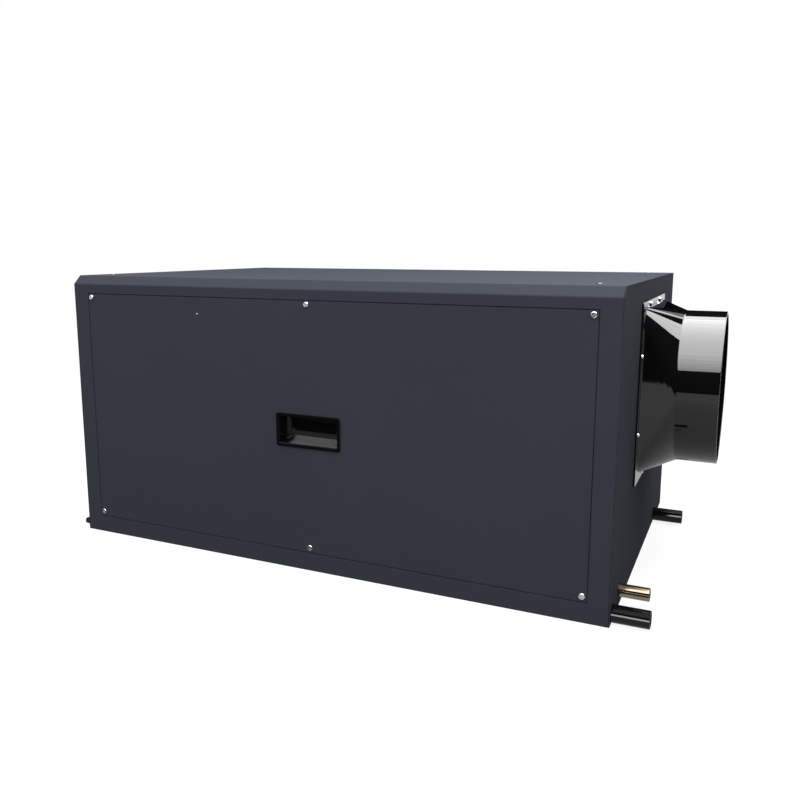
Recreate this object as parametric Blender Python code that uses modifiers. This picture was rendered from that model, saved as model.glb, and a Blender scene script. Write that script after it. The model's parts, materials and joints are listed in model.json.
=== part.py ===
"""Ceiling mounted air dryer: a ducted dehumidifier in a folded sheet cabinet.

Metres, +Z up. The origin is the centre of the underside. The access panel faces -Y,
the supply duct leaves at +X and the return duct at -X.
"""

import math

import bpy
import bmesh
from mathutils import Matrix

# Cabinet
BODY_LENGTH = 0.780
BODY_DEPTH = 0.500
BODY_HEIGHT = 0.385
SHEET = 0.0012
BEND_RADIUS = 0.0015
ROUND = 0.5
CHAMFER_DEPTH = 0.0125
CHAMFER_DROP = 0.0120
BACK_LIP = 0.020
CLEARANCE = 0.0003

# Access panel in the front, on a joggled ledge of the cover
DOOR_SHEET = 0.0015
DOOR_SEAM = 0.0010
DOOR_MARGIN_SIDE = 0.0255
DOOR_MARGIN_BOTTOM = 0.0245
DOOR_MARGIN_TOP = 0.0130
LEDGE_WIDTH = 0.015
LINING_THICKNESS = 0.010
LINING_SETBACK = 0.003

# Recessed pull handle
HANDLE_WIDTH = 0.095
HANDLE_HEIGHT = 0.045
HANDLE_CENTRE_Z = 0.190
HANDLE_CORNER = 0.003
HANDLE_RIM = 0.0045
HANDLE_WALL = 0.0015
HANDLE_RECESS_DEPTH = 0.022
HANDLE_RECESS_FILLET = 0.013
HANDLE_FILLET_STEPS = 7
HANDLE_DRAFT = 0.001

# Base tray
UPSTAND_BELOW_LEDGE = 0.003
FRONT_UPSTAND_SETBACK = 0.030
END_UPSTAND_SETBACK = 0.115
BEND_RELIEF = 0.002

# Corner posts
POST_LEG = 0.020
POST_WALL = 0.0015
POST_FOOT_HEIGHT = 0.030

# Duct adapters, square root to round collar
DUCT_BELOW_TOP = 0.1415
COLLAR_RADIUS = 0.100
COLLAR_LENGTH = 0.050
TRANSITION_LENGTH = 0.040
ADAPTER_WALL = 0.0025
FLANGE_STRIP = 0.0095
FLANGE_CORNER = 0.003
ROOT_WIDTH = 0.207
ROOT_HEIGHT = 0.213
ROOT_CORNER = 0.014
PANEL_OPENING_MARGIN = 0.004
POINTS_PER_CORNER = 14
TRANSITION_STEPS = 6

# Pipe stubs at the supply end: centre from the front, outer radius, wall, reach
PIPE_INNER_LENGTH = 0.040
COPPER_PIPE_SETBACK = 0.060
COPPER_PIPE_RADIUS = 0.008
COPPER_PIPE_WALL = 0.001
COPPER_PIPE_REACH = 0.036
COPPER_PIPE_Z = 0.022
FRONT_DRAIN_SETBACK = 0.0145
FRONT_DRAIN_RADIUS = 0.0105
REAR_DRAIN_SETBACK = 0.400
REAR_DRAIN_RADIUS = 0.010
DRAIN_WALL = 0.002
DRAIN_REACH = 0.043
PIPE_SEGMENTS = 32

# Cable gland at the return end
GLAND_SETBACK = 0.0115
GLAND_Z = 0.0075
GLAND_RADIUS = 0.005
GLAND_NECK_RADIUS = 0.0035
GLAND_REACH = 0.016
GLAND_COLLAR = 0.004
GLAND_INNER_LENGTH = 0.010
GLAND_BORE_RADIUS = 0.0022

# Nut plates under the top that take the hanging rods
HANGER_END_INSET = 0.035
HANGER_SIDE_INSET = 0.042
HANGER_PLATE_SIZE = 0.040
HANGER_PLATE_THICKNESS = 0.005

# Filter behind the return opening
FILTER_OVERLAP = 0.010
FILTER_DEPTH = 0.020
FILTER_BORDER = 0.014
FILTER_PLEAT = 0.016
FILTER_MEDIA_SHEET = 0.0015
RAIL_WALL = 0.0012
RAIL_LIP = 0.010

# Blower behind the supply opening; its axis runs along Y and its wheel turns clockwise
# when seen from the access panel
BLOWER_WIDTH = 0.140
BLOWER_SHEET = 0.0012
BLOWER_LIP = 0.006
BLOWER_FLOOR_SHARE = 0.185
BLOWER_THROAT = 0.050
SCROLL_GROWTH = 0.085
SCROLL_STEPS = 40
CUTOFF_ANGLE = math.radians(20)
CUTOFF_RADIUS = 0.006
CUTOFF_STEPS = 6
CUTOFF_GAP = 0.007
WHEEL_BACK_GAP = 0.008
WHEEL_FRONT_GAP = 0.020
WHEEL_DISC = 0.002
WHEEL_RING = 0.003
BLADE_COUNT = 32
BLADE_SHARE = 0.175
BLADE_SWEEP = math.radians(9)
BLADE_SHEET = 0.0012
BLADE_STEPS = 3
HUB_RADIUS = 0.012
HUB_LENGTH = 0.030
SHAFT_RADIUS = 0.006
INLET_WALL = 0.0015
INLET_ROUND = 0.010
INLET_FLANGE = 0.014
INLET_RUNNING_GAP = 0.003
MOTOR_RADIUS = 0.045
MOTOR_LENGTH = 0.060
MOTOR_EDGE = 0.006
MOTOR_FLANGE_RADIUS = 0.054
MOTOR_FLANGE = 0.004
MOTOR_PILOT_RADIUS = 0.022
MOTOR_PILOT_LENGTH = 0.006

PAINT_FRONT = ((0.037, 0.041, 0.053), 0.45, 0.25)
PAINT_END = ((0.030, 0.033, 0.041), 0.45, 0.25)
GALVANISED = ((0.42, 0.43, 0.44), 0.40, 0.90)
MOTOR_GREY = ((0.10, 0.10, 0.11), 0.50, 0.30)
GLOSS_BLACK = ((0.006, 0.006, 0.007), 0.08, 0.0)
COPPER = ((0.75, 0.42, 0.22), 0.25, 1.0)
FOAM = ((0.030, 0.030, 0.032), 0.95, 0.0)
FILTER_CLOTH = ((0.62, 0.64, 0.66), 0.95, 0.0)

HALF_LENGTH = BODY_LENGTH / 2
HALF_DEPTH = BODY_DEPTH / 2
INSIDE_X = HALF_LENGTH - SHEET - CLEARANCE
INSIDE_Y = HALF_DEPTH - SHEET - CLEARANCE
CHAMFER_FOOT_Z = BODY_HEIGHT - CHAMFER_DROP
DUCT_CENTRE_Z = BODY_HEIGHT - DUCT_BELOW_TOP
FLANGE_WIDTH = ROOT_WIDTH + 2 * FLANGE_STRIP
FLANGE_HEIGHT = ROOT_HEIGHT + 2 * FLANGE_STRIP
OPENING_WIDTH = ROOT_WIDTH - 2 * ADAPTER_WALL - PANEL_OPENING_MARGIN
OPENING_HEIGHT = ROOT_HEIGHT - 2 * ADAPTER_WALL - PANEL_OPENING_MARGIN
FILTER_WIDTH = OPENING_WIDTH + 2 * FILTER_OVERLAP
FILTER_HEIGHT = OPENING_HEIGHT + 2 * FILTER_OVERLAP
DOOR_OPENING_X = HALF_LENGTH - DOOR_MARGIN_SIDE
DOOR_OPENING_LOW = DOOR_MARGIN_BOTTOM
DOOR_OPENING_HIGH = CHAMFER_FOOT_Z - DOOR_MARGIN_TOP

FACING_UP = Matrix.Identity(3)
FACING_X = Matrix(((0, 0, 1), (1, 0, 0), (0, 1, 0)))
FACING_FRONT = Matrix(((1, 0, 0), (0, 0, -1), (0, 1, 0)))
FACING_Y = Matrix(((0, 1, 0), (0, 0, 1), (1, 0, 0)))


def clear_scene():
    for old in list(bpy.data.objects):
        bpy.data.objects.remove(old, do_unlink=True)


def make_collection(name):
    collection = bpy.data.collections.new(name)
    bpy.context.scene.collection.children.link(collection)
    return collection


def give_material(item, finish):
    colour, roughness, metallic = finish
    material = bpy.data.materials.new(item.name + "_finish")
    material.use_nodes = True
    shader = material.node_tree.nodes["Principled BSDF"]
    shader.inputs["Base Color"].default_value = (*colour, 1.0)
    shader.inputs["Roughness"].default_value = roughness
    shader.inputs["Metallic"].default_value = metallic
    material.diffuse_color = (*colour, 1.0)
    item.data.materials.append(material)


def add_object(name, data, finish, place=None):
    item = bpy.data.objects.new(name, data)
    DRYER.objects.link(item)
    if place is not None:
        item.matrix_world = place
    give_material(item, finish)
    return item


def add_mesh(name, bm, finish, place=None):
    mesh = bpy.data.meshes.new(name)
    bm.to_mesh(mesh)
    bm.free()
    return add_object(name, mesh, finish, place)


def smooth(item, degrees=35):
    item.data.shade_smooth()
    item.data.set_sharp_from_angle(angle=math.radians(degrees))


def rectangle(low_a, low_b, high_a, high_b):
    return [(low_a, low_b), (high_a, low_b), (high_a, high_b), (low_a, high_b)]


def circle(centre_a, centre_b, radius, segments=PIPE_SEGMENTS):
    points = []
    for step in range(segments):
        angle = math.tau * step / segments
        points.append((centre_a + radius * math.cos(angle), centre_b + radius * math.sin(angle)))
    return points


def corner_ring(width, height, radius, per_corner=POINTS_PER_CORNER):
    """Outline with four round corners, counter-clockwise; a circle when all is round."""
    points = []
    for corner in range(4):
        sign_a = (1, -1, -1, 1)[corner]
        sign_b = (1, 1, -1, -1)[corner]
        centre_a = sign_a * (width / 2 - radius)
        centre_b = sign_b * (height / 2 - radius)
        for step in range(per_corner):
            angle = math.radians(90 * (corner + (step + 0.5) / per_corner))
            points.append((centre_a + radius * math.cos(angle), centre_b + radius * math.sin(angle)))
    return points


def flat_sheet(name, outlines, thickness, facing, centre, finish):
    """Sheet cut to an outline, with any holes as further outlines."""
    curve = bpy.data.curves.new(name, "CURVE")
    curve.dimensions = "2D"
    curve.fill_mode = "BOTH"
    curve.extrude = thickness / 2
    for outline in outlines:
        spline = curve.splines.new("POLY")
        spline.points.add(len(outline) - 1)
        for point, (a, b) in zip(spline.points, outline):
            point.co = (a, b, 0, 1)
        spline.use_cyclic_u = True
    place = Matrix.Translation(centre) @ facing.to_4x4()
    return add_object(name, curve, finish, place)


def bridge_rings(bm, rings, closed_end=False):
    """Open skin through rings of equal point count."""
    rows = [[bm.verts.new(point) for point in ring] for ring in rings]
    for row, following in zip(rows, rows[1:]):
        for here in range(len(row)):
            there = (here + 1) % len(row)
            bm.faces.new((row[here], row[there], following[there], following[here]))
    if closed_end:
        bm.faces.new(rows[-1])
    return rows


def add_thickness(item, thickness, folded=False):
    """Wall behind a skin; folded sheet keeps its exact thickness where several folds meet."""
    wall = item.modifiers.new("wall", "SOLIDIFY")
    wall.thickness = thickness
    wall.offset = -1
    wall.use_even_offset = True
    if folded:
        wall.solidify_mode = "NON_MANIFOLD"
        wall.nonmanifold_thickness_mode = "CONSTRAINTS"


def turned(name, profile, place, finish, segments=PIPE_SEGMENTS, closed=False):
    """Profile of (radius, height) points, outer side from top to bottom, turned about Z."""
    bm = bmesh.new()
    points = [bm.verts.new((radius, 0, height)) for radius, height in profile]
    for first, second in zip(points, points[1:]):
        bm.edges.new((first, second))
    if closed:
        bm.edges.new((points[-1], points[0]))
    item = add_mesh(name, bm, finish, place)
    turn = item.modifiers.new("turn", "SCREW")
    turn.steps = segments
    turn.render_steps = segments
    turn.use_merge_vertices = True
    turn.merge_threshold = 0.00002
    turn.use_smooth_shade = True
    return item


def as_mesh(item):
    """Mesh object in the place of a curve object, its caps welded on."""
    name = item.name
    place = item.matrix_world.copy()
    evaluated = item.evaluated_get(bpy.context.evaluated_depsgraph_get())
    mesh = bpy.data.meshes.new_from_object(evaluated)
    bpy.data.objects.remove(item, do_unlink=True)
    bm = bmesh.new()
    bm.from_mesh(mesh)
    bmesh.ops.remove_doubles(bm, verts=bm.verts, dist=0.00002)
    bm.to_mesh(mesh)
    bm.free()
    solid = bpy.data.objects.new(name, mesh)
    DRYER.objects.link(solid)
    solid.matrix_world = place
    return solid


def union_with(item, other):
    """Joins another shape on; that shape then only serves as a tool."""
    DRYER.objects.unlink(other)
    TOOLS.objects.link(other)
    other.hide_render = True
    other.display_type = "WIRE"
    join = item.modifiers.new("join", "BOOLEAN")
    join.operation = "UNION"
    join.solver = "EXACT"
    join.object = other


def outer_cover():
    """Front with the door opening, chamfer, top and back lip, folded from one sheet."""
    front_y = -HALF_DEPTH
    ledge_y = front_y + DOOR_SHEET + CLEARANCE
    outer = rectangle(-INSIDE_X, 0, INSIDE_X, CHAMFER_FOOT_Z)
    opening = rectangle(-DOOR_OPENING_X, DOOR_OPENING_LOW, DOOR_OPENING_X, DOOR_OPENING_HIGH)
    ledge = rectangle(
        -DOOR_OPENING_X + LEDGE_WIDTH,
        DOOR_OPENING_LOW + LEDGE_WIDTH,
        DOOR_OPENING_X - LEDGE_WIDTH,
        DOOR_OPENING_HIGH - LEDGE_WIDTH,
    )
    steps = ((outer, front_y), (opening, front_y), (opening, ledge_y), (ledge, ledge_y))
    bm = bmesh.new()
    rows = bridge_rings(bm, [[(x, y, z) for x, z in ring] for ring, y in steps])
    fold = bm.edges.get((rows[0][2], rows[0][3]))
    folds = []
    for depth, rise in (
        (CHAMFER_DEPTH, CHAMFER_DROP),
        (BODY_DEPTH - CHAMFER_DEPTH, 0),
        (0, -BACK_LIP),
    ):
        folds.append(fold)
        new_parts = bmesh.ops.extrude_edge_only(bm, edges=[fold])["geom"]
        ends = [part for part in new_parts if isinstance(part, bmesh.types.BMVert)]
        bmesh.ops.translate(bm, verts=ends, vec=(0, depth, rise))
        fold = bm.edges.get(ends)
    bmesh.ops.bevel(bm, geom=folds, offset=BEND_RADIUS, segments=3, profile=ROUND, affect="EDGES")
    item = add_mesh("outer_cover", bm, PAINT_FRONT)
    add_thickness(item, SHEET, folded=True)


def access_panel():
    half_width = DOOR_OPENING_X - DOOR_SEAM
    low = DOOR_OPENING_LOW + DOOR_SEAM
    high = DOOR_OPENING_HIGH - DOOR_SEAM
    flat_sheet(
        "access_panel",
        [rectangle(-half_width, low, half_width, high), handle_hole(HANDLE_WALL + CLEARANCE)],
        DOOR_SHEET,
        FACING_FRONT,
        (0, -HALF_DEPTH + DOOR_SHEET / 2, 0),
        PAINT_FRONT,
    )
    inset = LEDGE_WIDTH + LINING_SETBACK
    flat_sheet(
        "access_panel_lining",
        [
            rectangle(
                -DOOR_OPENING_X + inset,
                DOOR_OPENING_LOW + inset,
                DOOR_OPENING_X - inset,
                DOOR_OPENING_HIGH - inset,
            ),
            handle_hole(HANDLE_WALL + CLEARANCE),
        ],
        LINING_THICKNESS,
        FACING_FRONT,
        (0, -HALF_DEPTH + DOOR_SHEET + CLEARANCE + LINING_THICKNESS / 2, 0),
        FOAM,
    )


def handle_hole(margin):
    """Cut-out that the handle's cup passes through."""
    width = HANDLE_WIDTH - 2 * HANDLE_RIM + 2 * margin
    height = HANDLE_HEIGHT - 2 * HANDLE_RIM + 2 * margin
    ring = corner_ring(width, height, HANDLE_CORNER, 4)
    return [(a, b + HANDLE_CENTRE_Z) for a, b in ring]


def pull_handle():
    """Flush cup with a proud rim, drafted walls and a filleted floor."""
    rim_y = -HALF_DEPTH - CLEARANCE - HANDLE_WALL
    cup_width = HANDLE_WIDTH - 2 * HANDLE_RIM
    cup_height = HANDLE_HEIGHT - 2 * HANDLE_RIM
    stations = [(HANDLE_WIDTH, HANDLE_HEIGHT, 0), (cup_width, cup_height, 0)]
    wall_depth = HANDLE_RECESS_DEPTH - HANDLE_RECESS_FILLET
    for step in range(HANDLE_FILLET_STEPS + 1):
        angle = math.radians(90 * step / HANDLE_FILLET_STEPS)
        shrink = 2 * (HANDLE_DRAFT + HANDLE_RECESS_FILLET * (1 - math.cos(angle)))
        depth = wall_depth + HANDLE_RECESS_FILLET * math.sin(angle)
        stations.append((cup_width - shrink, cup_height - shrink, depth))
    rings = []
    for width, height, depth in stations:
        ring = corner_ring(width, height, HANDLE_CORNER, 4)
        rings.append([(a, rim_y + depth, b + HANDLE_CENTRE_Z) for a, b in ring])
    bm = bmesh.new()
    bridge_rings(bm, rings, closed_end=True)
    item = add_mesh("pull_handle", bm, GLOSS_BLACK)
    add_thickness(item, HANDLE_WALL)
    smooth(item, 30)


def end_outline():
    """Side view of the cabinet with the chamfer at its front top edge."""
    return [
        (-HALF_DEPTH, 0),
        (HALF_DEPTH, 0),
        (HALF_DEPTH, BODY_HEIGHT),
        (-HALF_DEPTH + CHAMFER_DEPTH, BODY_HEIGHT),
        (-HALF_DEPTH, CHAMFER_FOOT_Z),
    ]


def duct_opening():
    ring = corner_ring(OPENING_WIDTH, OPENING_HEIGHT, ROOT_CORNER - ADAPTER_WALL, 6)
    return [(a, b + DUCT_CENTRE_Z) for a, b in ring]


def pipe_stubs():
    """Name, distance from the front, height, radius, wall, reach, finish."""
    drain_seat = SHEET + CLEARANCE
    return (
        ("copper_pipe", COPPER_PIPE_SETBACK, COPPER_PIPE_Z, COPPER_PIPE_RADIUS,
         COPPER_PIPE_WALL, COPPER_PIPE_REACH, COPPER),
        ("front_drain_pipe", FRONT_DRAIN_SETBACK, drain_seat + FRONT_DRAIN_RADIUS,
         FRONT_DRAIN_RADIUS, DRAIN_WALL, DRAIN_REACH, GLOSS_BLACK),
        ("rear_drain_pipe", REAR_DRAIN_SETBACK, drain_seat + REAR_DRAIN_RADIUS,
         REAR_DRAIN_RADIUS, DRAIN_WALL, DRAIN_REACH, GLOSS_BLACK),
    )


def end_panels():
    pipe_holes = []
    for name, setback, height, radius, wall, reach, finish in pipe_stubs():
        pipe_holes.append(circle(-HALF_DEPTH + setback, height, radius + CLEARANCE))
    gland_hole = circle(-HALF_DEPTH + GLAND_SETBACK, GLAND_Z, GLAND_NECK_RADIUS + CLEARANCE)
    for name, side, holes in (
        ("right_end_panel", 1, pipe_holes),
        ("left_end_panel", -1, [gland_hole]),
    ):
        centre_x = side * (HALF_LENGTH - SHEET / 2)
        flat_sheet(name, [end_outline(), duct_opening()] + holes, SHEET, FACING_X,
                   (centre_x, 0, 0), PAINT_END)


def back_panel():
    flat_sheet(
        "back_panel",
        [rectangle(-INSIDE_X, 0, INSIDE_X, BODY_HEIGHT - BACK_LIP - CLEARANCE)],
        SHEET,
        FACING_FRONT,
        (0, HALF_DEPTH - SHEET / 2, 0),
        PAINT_END,
    )


def mirrored_cuts(half, fold_end):
    """Grid lines across the tray: both edges, their bend reliefs and the ends of a fold."""
    near = (half, half - BEND_RELIEF, half - fold_end + BEND_RELIEF, half - fold_end)
    return [-cut for cut in near] + list(reversed(near))


def base_pan():
    """Underside tray with a folded upstand on each side and bend reliefs at the fold ends."""
    cuts_x = mirrored_cuts(INSIDE_X, FRONT_UPSTAND_SETBACK)
    cuts_y = mirrored_cuts(INSIDE_Y, END_UPSTAND_SETBACK)
    upstand_height = DOOR_MARGIN_BOTTOM - SHEET - UPSTAND_BELOW_LEDGE
    last = len(cuts_x) - 2
    beside_fold = (2, last - 2)
    edge_cells = (0, last)
    bm = bmesh.new()
    grid = [[bm.verts.new((x, y, 0)) for x in cuts_x] for y in cuts_y]
    for row in range(last + 1):
        for column in range(last + 1):
            front_relief = row in edge_cells and column in beside_fold
            end_relief = column in edge_cells and row in beside_fold
            if front_relief or end_relief:
                continue
            corners = (grid[row][column], grid[row + 1][column],
                       grid[row + 1][column + 1], grid[row][column + 1])
            bm.faces.new(corners)
    folds = [
        (grid[0][3], grid[0][4]),
        (grid[-1][3], grid[-1][4]),
        (grid[3][0], grid[4][0]),
        (grid[3][-1], grid[4][-1]),
    ]
    for pair in folds:
        fold = bm.edges.get(pair)
        new_parts = bmesh.ops.extrude_edge_only(bm, edges=[fold])["geom"]
        ends = [part for part in new_parts if isinstance(part, bmesh.types.BMVert)]
        bmesh.ops.translate(bm, verts=ends, vec=(0, 0, upstand_height))
    item = add_mesh("base_pan", bm, PAINT_END)
    add_thickness(item, SHEET, folded=True)


def corner_posts():
    """Angle posts that the end panels, the cover and the back are fixed to."""
    for side_x, word_x in ((-1, "left"), (1, "right")):
        for side_y, word_y in ((-1, "front"), (1, "back")):
            corner_x = side_x * INSIDE_X
            corner_y = side_y * INSIDE_Y
            outline = [
                (corner_x, corner_y),
                (corner_x - side_x * POST_LEG, corner_y),
                (corner_x - side_x * POST_LEG, corner_y - side_y * POST_WALL),
                (corner_x - side_x * POST_WALL, corner_y - side_y * POST_WALL),
                (corner_x - side_x * POST_WALL, corner_y - side_y * POST_LEG),
                (corner_x, corner_y - side_y * POST_LEG),
            ]
            top = BODY_HEIGHT if side_y > 0 else CHAMFER_FOOT_Z
            top -= SHEET + CLEARANCE
            height = top - POST_FOOT_HEIGHT
            flat_sheet(
                f"post_{word_y}_{word_x}",
                [outline],
                height,
                FACING_UP,
                (0, 0, POST_FOOT_HEIGHT + height / 2),
                GALVANISED,
            )


def duct_adapter(name, side):
    """Moulded spigot: flat flange, ruled loft from a square root to a round collar."""
    flange_x = HALF_LENGTH + CLEARANCE + ADAPTER_WALL
    stations = [(FLANGE_WIDTH, FLANGE_HEIGHT, FLANGE_CORNER, 0)]
    for step in range(TRANSITION_STEPS + 1):
        part = step / TRANSITION_STEPS
        width = ROOT_WIDTH + (2 * COLLAR_RADIUS - ROOT_WIDTH) * part
        height = ROOT_HEIGHT + (2 * COLLAR_RADIUS - ROOT_HEIGHT) * part
        corner = ROOT_CORNER + (COLLAR_RADIUS - ROOT_CORNER) * part
        stations.append((width, height, corner, part * TRANSITION_LENGTH))
    diameter = 2 * COLLAR_RADIUS
    stations.append((diameter, diameter, COLLAR_RADIUS, TRANSITION_LENGTH + COLLAR_LENGTH))
    rings = []
    for width, height, corner, reach in stations:
        ring = corner_ring(width, height, corner)
        rings.append([(flange_x + reach, a, b + DUCT_CENTRE_Z) for a, b in ring])
    bm = bmesh.new()
    bridge_rings(bm, rings)
    if side < 0:
        bmesh.ops.transform(bm, matrix=Matrix.Scale(-1, 4, (1, 0, 0)), verts=bm.verts)
        bmesh.ops.reverse_faces(bm, faces=bm.faces)
    item = add_mesh(name, bm, GLOSS_BLACK)
    add_thickness(item, ADAPTER_WALL)
    smooth(item, 25)


def pipes():
    for name, setback, height, radius, wall, reach, finish in pipe_stubs():
        start = -PIPE_INNER_LENGTH
        profile = [(radius, reach), (radius, start), (radius - wall, start), (radius - wall, reach)]
        place = (
            Matrix.Translation((HALF_LENGTH, -HALF_DEPTH + setback, height))
            @ Matrix.Rotation(math.radians(90), 4, "Y")
        )
        turned(name, profile, place, finish, closed=True)


def cable_gland():
    """Round gland with a neck through the end panel and a lock collar inside."""
    inside = -SHEET - CLEARANCE
    profile = [
        (GLAND_RADIUS * 0.8, GLAND_REACH),
        (GLAND_RADIUS, GLAND_REACH - GLAND_RADIUS * 0.4),
        (GLAND_RADIUS, CLEARANCE),
        (GLAND_NECK_RADIUS, CLEARANCE),
        (GLAND_NECK_RADIUS, inside),
        (GLAND_RADIUS, inside),
        (GLAND_RADIUS, inside - GLAND_COLLAR),
        (GLAND_NECK_RADIUS, inside - GLAND_COLLAR),
        (GLAND_NECK_RADIUS, -GLAND_INNER_LENGTH),
        (GLAND_BORE_RADIUS, -GLAND_INNER_LENGTH),
        (GLAND_BORE_RADIUS, GLAND_REACH),
    ]
    place = (
        Matrix.Translation((-HALF_LENGTH, -HALF_DEPTH + GLAND_SETBACK, GLAND_Z))
        @ Matrix.Rotation(math.radians(-90), 4, "Y")
    )
    turned("cable_gland", profile, place, GLOSS_BLACK, closed=True)


def hanger_plates():
    """Tapped plates below the top, one for each hanging rod."""
    height = BODY_HEIGHT - SHEET - CLEARANCE - HANGER_PLATE_THICKNESS / 2
    half = HANGER_PLATE_SIZE / 2
    for side_x, word_x in ((-1, "left"), (1, "right")):
        for side_y, word_y in ((-1, "front"), (1, "back")):
            centre_x = side_x * (HALF_LENGTH - HANGER_END_INSET)
            centre_y = side_y * (HALF_DEPTH - HANGER_SIDE_INSET)
            flat_sheet(
                f"hanger_plate_{word_y}_{word_x}",
                [rectangle(-half, -half, half, half)],
                HANGER_PLATE_THICKNESS,
                FACING_UP,
                (centre_x, centre_y, height),
                GALVANISED,
            )


def return_filter():
    """Pleated filter held between two channel rails behind the return opening."""
    face_x = -HALF_LENGTH + SHEET + CLEARANCE
    rail_depth = FILTER_DEPTH + 2 * (CLEARANCE + RAIL_WALL)
    rail_reach = FILTER_HEIGHT / 2 + CLEARANCE
    for word, side in (("upper", 1), ("lower", -1)):
        low = DUCT_CENTRE_Z + side * (rail_reach - RAIL_LIP)
        high = DUCT_CENTRE_Z + side * (rail_reach + RAIL_WALL)
        web = DUCT_CENTRE_Z + side * rail_reach
        outline = [
            (low, face_x),
            (high, face_x),
            (high, face_x + rail_depth),
            (low, face_x + rail_depth),
            (low, face_x + rail_depth - RAIL_WALL),
            (web, face_x + rail_depth - RAIL_WALL),
            (web, face_x + RAIL_WALL),
            (low, face_x + RAIL_WALL),
        ]
        flat_sheet(f"filter_rail_{word}", [outline], FILTER_WIDTH, FACING_Y, (0, 0, 0), GALVANISED)
    frame_low = face_x + RAIL_WALL + CLEARANCE
    half_width = FILTER_WIDTH / 2
    half_height = FILTER_HEIGHT / 2
    inner_width = half_width - FILTER_BORDER
    inner_height = half_height - FILTER_BORDER
    flat_sheet(
        "filter_frame",
        [
            rectangle(-half_width, DUCT_CENTRE_Z - half_height, half_width,
                      DUCT_CENTRE_Z + half_height),
            rectangle(-inner_width, DUCT_CENTRE_Z - inner_height, inner_width,
                      DUCT_CENTRE_Z + inner_height),
        ],
        FILTER_DEPTH,
        FACING_X,
        (frame_low + FILTER_DEPTH / 2, 0, 0),
        GALVANISED,
    )
    pleated_media(frame_low, inner_width - CLEARANCE, inner_height - CLEARANCE)


def pleated_media(low_x, half_width, half_height):
    """Zigzag cloth that fills the filter frame."""
    count = max(2, round(2 * half_width / FILTER_PLEAT))
    near = low_x + FILTER_MEDIA_SHEET
    far = low_x + FILTER_DEPTH - 2 * FILTER_MEDIA_SHEET
    front_edge = []
    for step in range(2 * count + 1):
        across = -half_width + half_width * step / count
        front_edge.append((near if step % 2 else far, across))
    back_edge = [(x + FILTER_MEDIA_SHEET, y) for x, y in reversed(front_edge)]
    flat_sheet("filter_media", [front_edge + back_edge], 2 * half_height, FACING_UP,
               (0, 0, DUCT_CENTRE_Z), FILTER_CLOTH)


def scroll_radius(swept):
    """Radius of the log spiral after a swept angle from the cut-off."""
    return SCROLL_START * math.exp(SCROLL_GROWTH * swept)


def around_axis(radius, angle):
    return (BLOWER_X + radius * math.cos(angle), BLOWER_Z + radius * math.sin(angle))


def spiral(extra, first_swept):
    """Points clockwise along the scroll, from near the cut-off to its level top."""
    points = []
    for step in range(SCROLL_STEPS + 1):
        swept = first_swept + (SCROLL_SWEEP - first_swept) * step / SCROLL_STEPS
        points.append(around_axis(scroll_radius(swept) + extra, CUTOFF_ANGLE - swept))
    return points


def blower_scroll():
    """Sheet wrapped along the spiral, with a rounded cut-off and a straight throat."""
    nose_x, nose_z = around_axis(SCROLL_START + CUTOFF_RADIUS, CUTOFF_ANGLE)
    path = [(OUTLET_X, OUTLET_LOW)]
    for step in range(CUTOFF_STEPS):
        turn = (math.pi / 2 + CUTOFF_ANGLE) * step / CUTOFF_STEPS
        angle = math.pi / 2 + turn
        path.append((nose_x + CUTOFF_RADIUS * math.cos(angle), nose_z + CUTOFF_RADIUS * math.sin(angle)))
    path += spiral(0, 0)
    path.append((OUTLET_X, OUTLET_HIGH))
    bm = bmesh.new()
    front = [bm.verts.new((x, -BLOWER_WIDTH / 2, z)) for x, z in path]
    edges = [bm.edges.new(pair) for pair in zip(front, front[1:])]
    extruded = bmesh.ops.extrude_edge_only(bm, edges=edges)["geom"]
    back = [part for part in extruded if isinstance(part, bmesh.types.BMVert)]
    bmesh.ops.translate(bm, verts=back, vec=(0, BLOWER_WIDTH, 0))
    item = add_mesh("blower_scroll", bm, GALVANISED)
    add_thickness(item, BLOWER_SHEET)
    smooth(item)


def blower_side_plates():
    """Two flat sides: the front one open for the inlet ring, the back one for the motor."""
    lower_swept = math.radians(10)
    outline = spiral(BLOWER_LIP, lower_swept)
    outline.append((OUTLET_X, OUTLET_HIGH + BLOWER_LIP))
    outline.append((OUTLET_X, outline[0][1]))
    for name, side, radius in (
        ("blower_side_inlet", -1, INLET_RADIUS + INLET_ROUND + CLEARANCE),
        ("blower_side_motor", 1, MOTOR_PILOT_RADIUS + CLEARANCE),
    ):
        centre_y = side * (BLOWER_WIDTH / 2 + CLEARANCE + BLOWER_SHEET / 2)
        flat_sheet(name, [outline, circle(BLOWER_X, BLOWER_Z, radius)], BLOWER_SHEET,
                   FACING_FRONT, (0, centre_y, 0), GALVANISED)


def blower_outlet_flange():
    """Plate between the blower's throat and the end panel, as large as the adapter's flange."""
    low = DUCT_CENTRE_Z - FLANGE_HEIGHT / 2
    high = DUCT_CENTRE_Z + FLANGE_HEIGHT / 2
    flat_sheet(
        "blower_outlet_flange",
        [
            rectangle(-FLANGE_WIDTH / 2, low, FLANGE_WIDTH / 2, high),
            rectangle(-BLOWER_WIDTH / 2, OUTLET_LOW, BLOWER_WIDTH / 2, OUTLET_HIGH),
        ],
        BLOWER_SHEET,
        FACING_X,
        (OUTLET_X + CLEARANCE + BLOWER_SHEET / 2, 0, 0),
        GALVANISED,
    )


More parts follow.
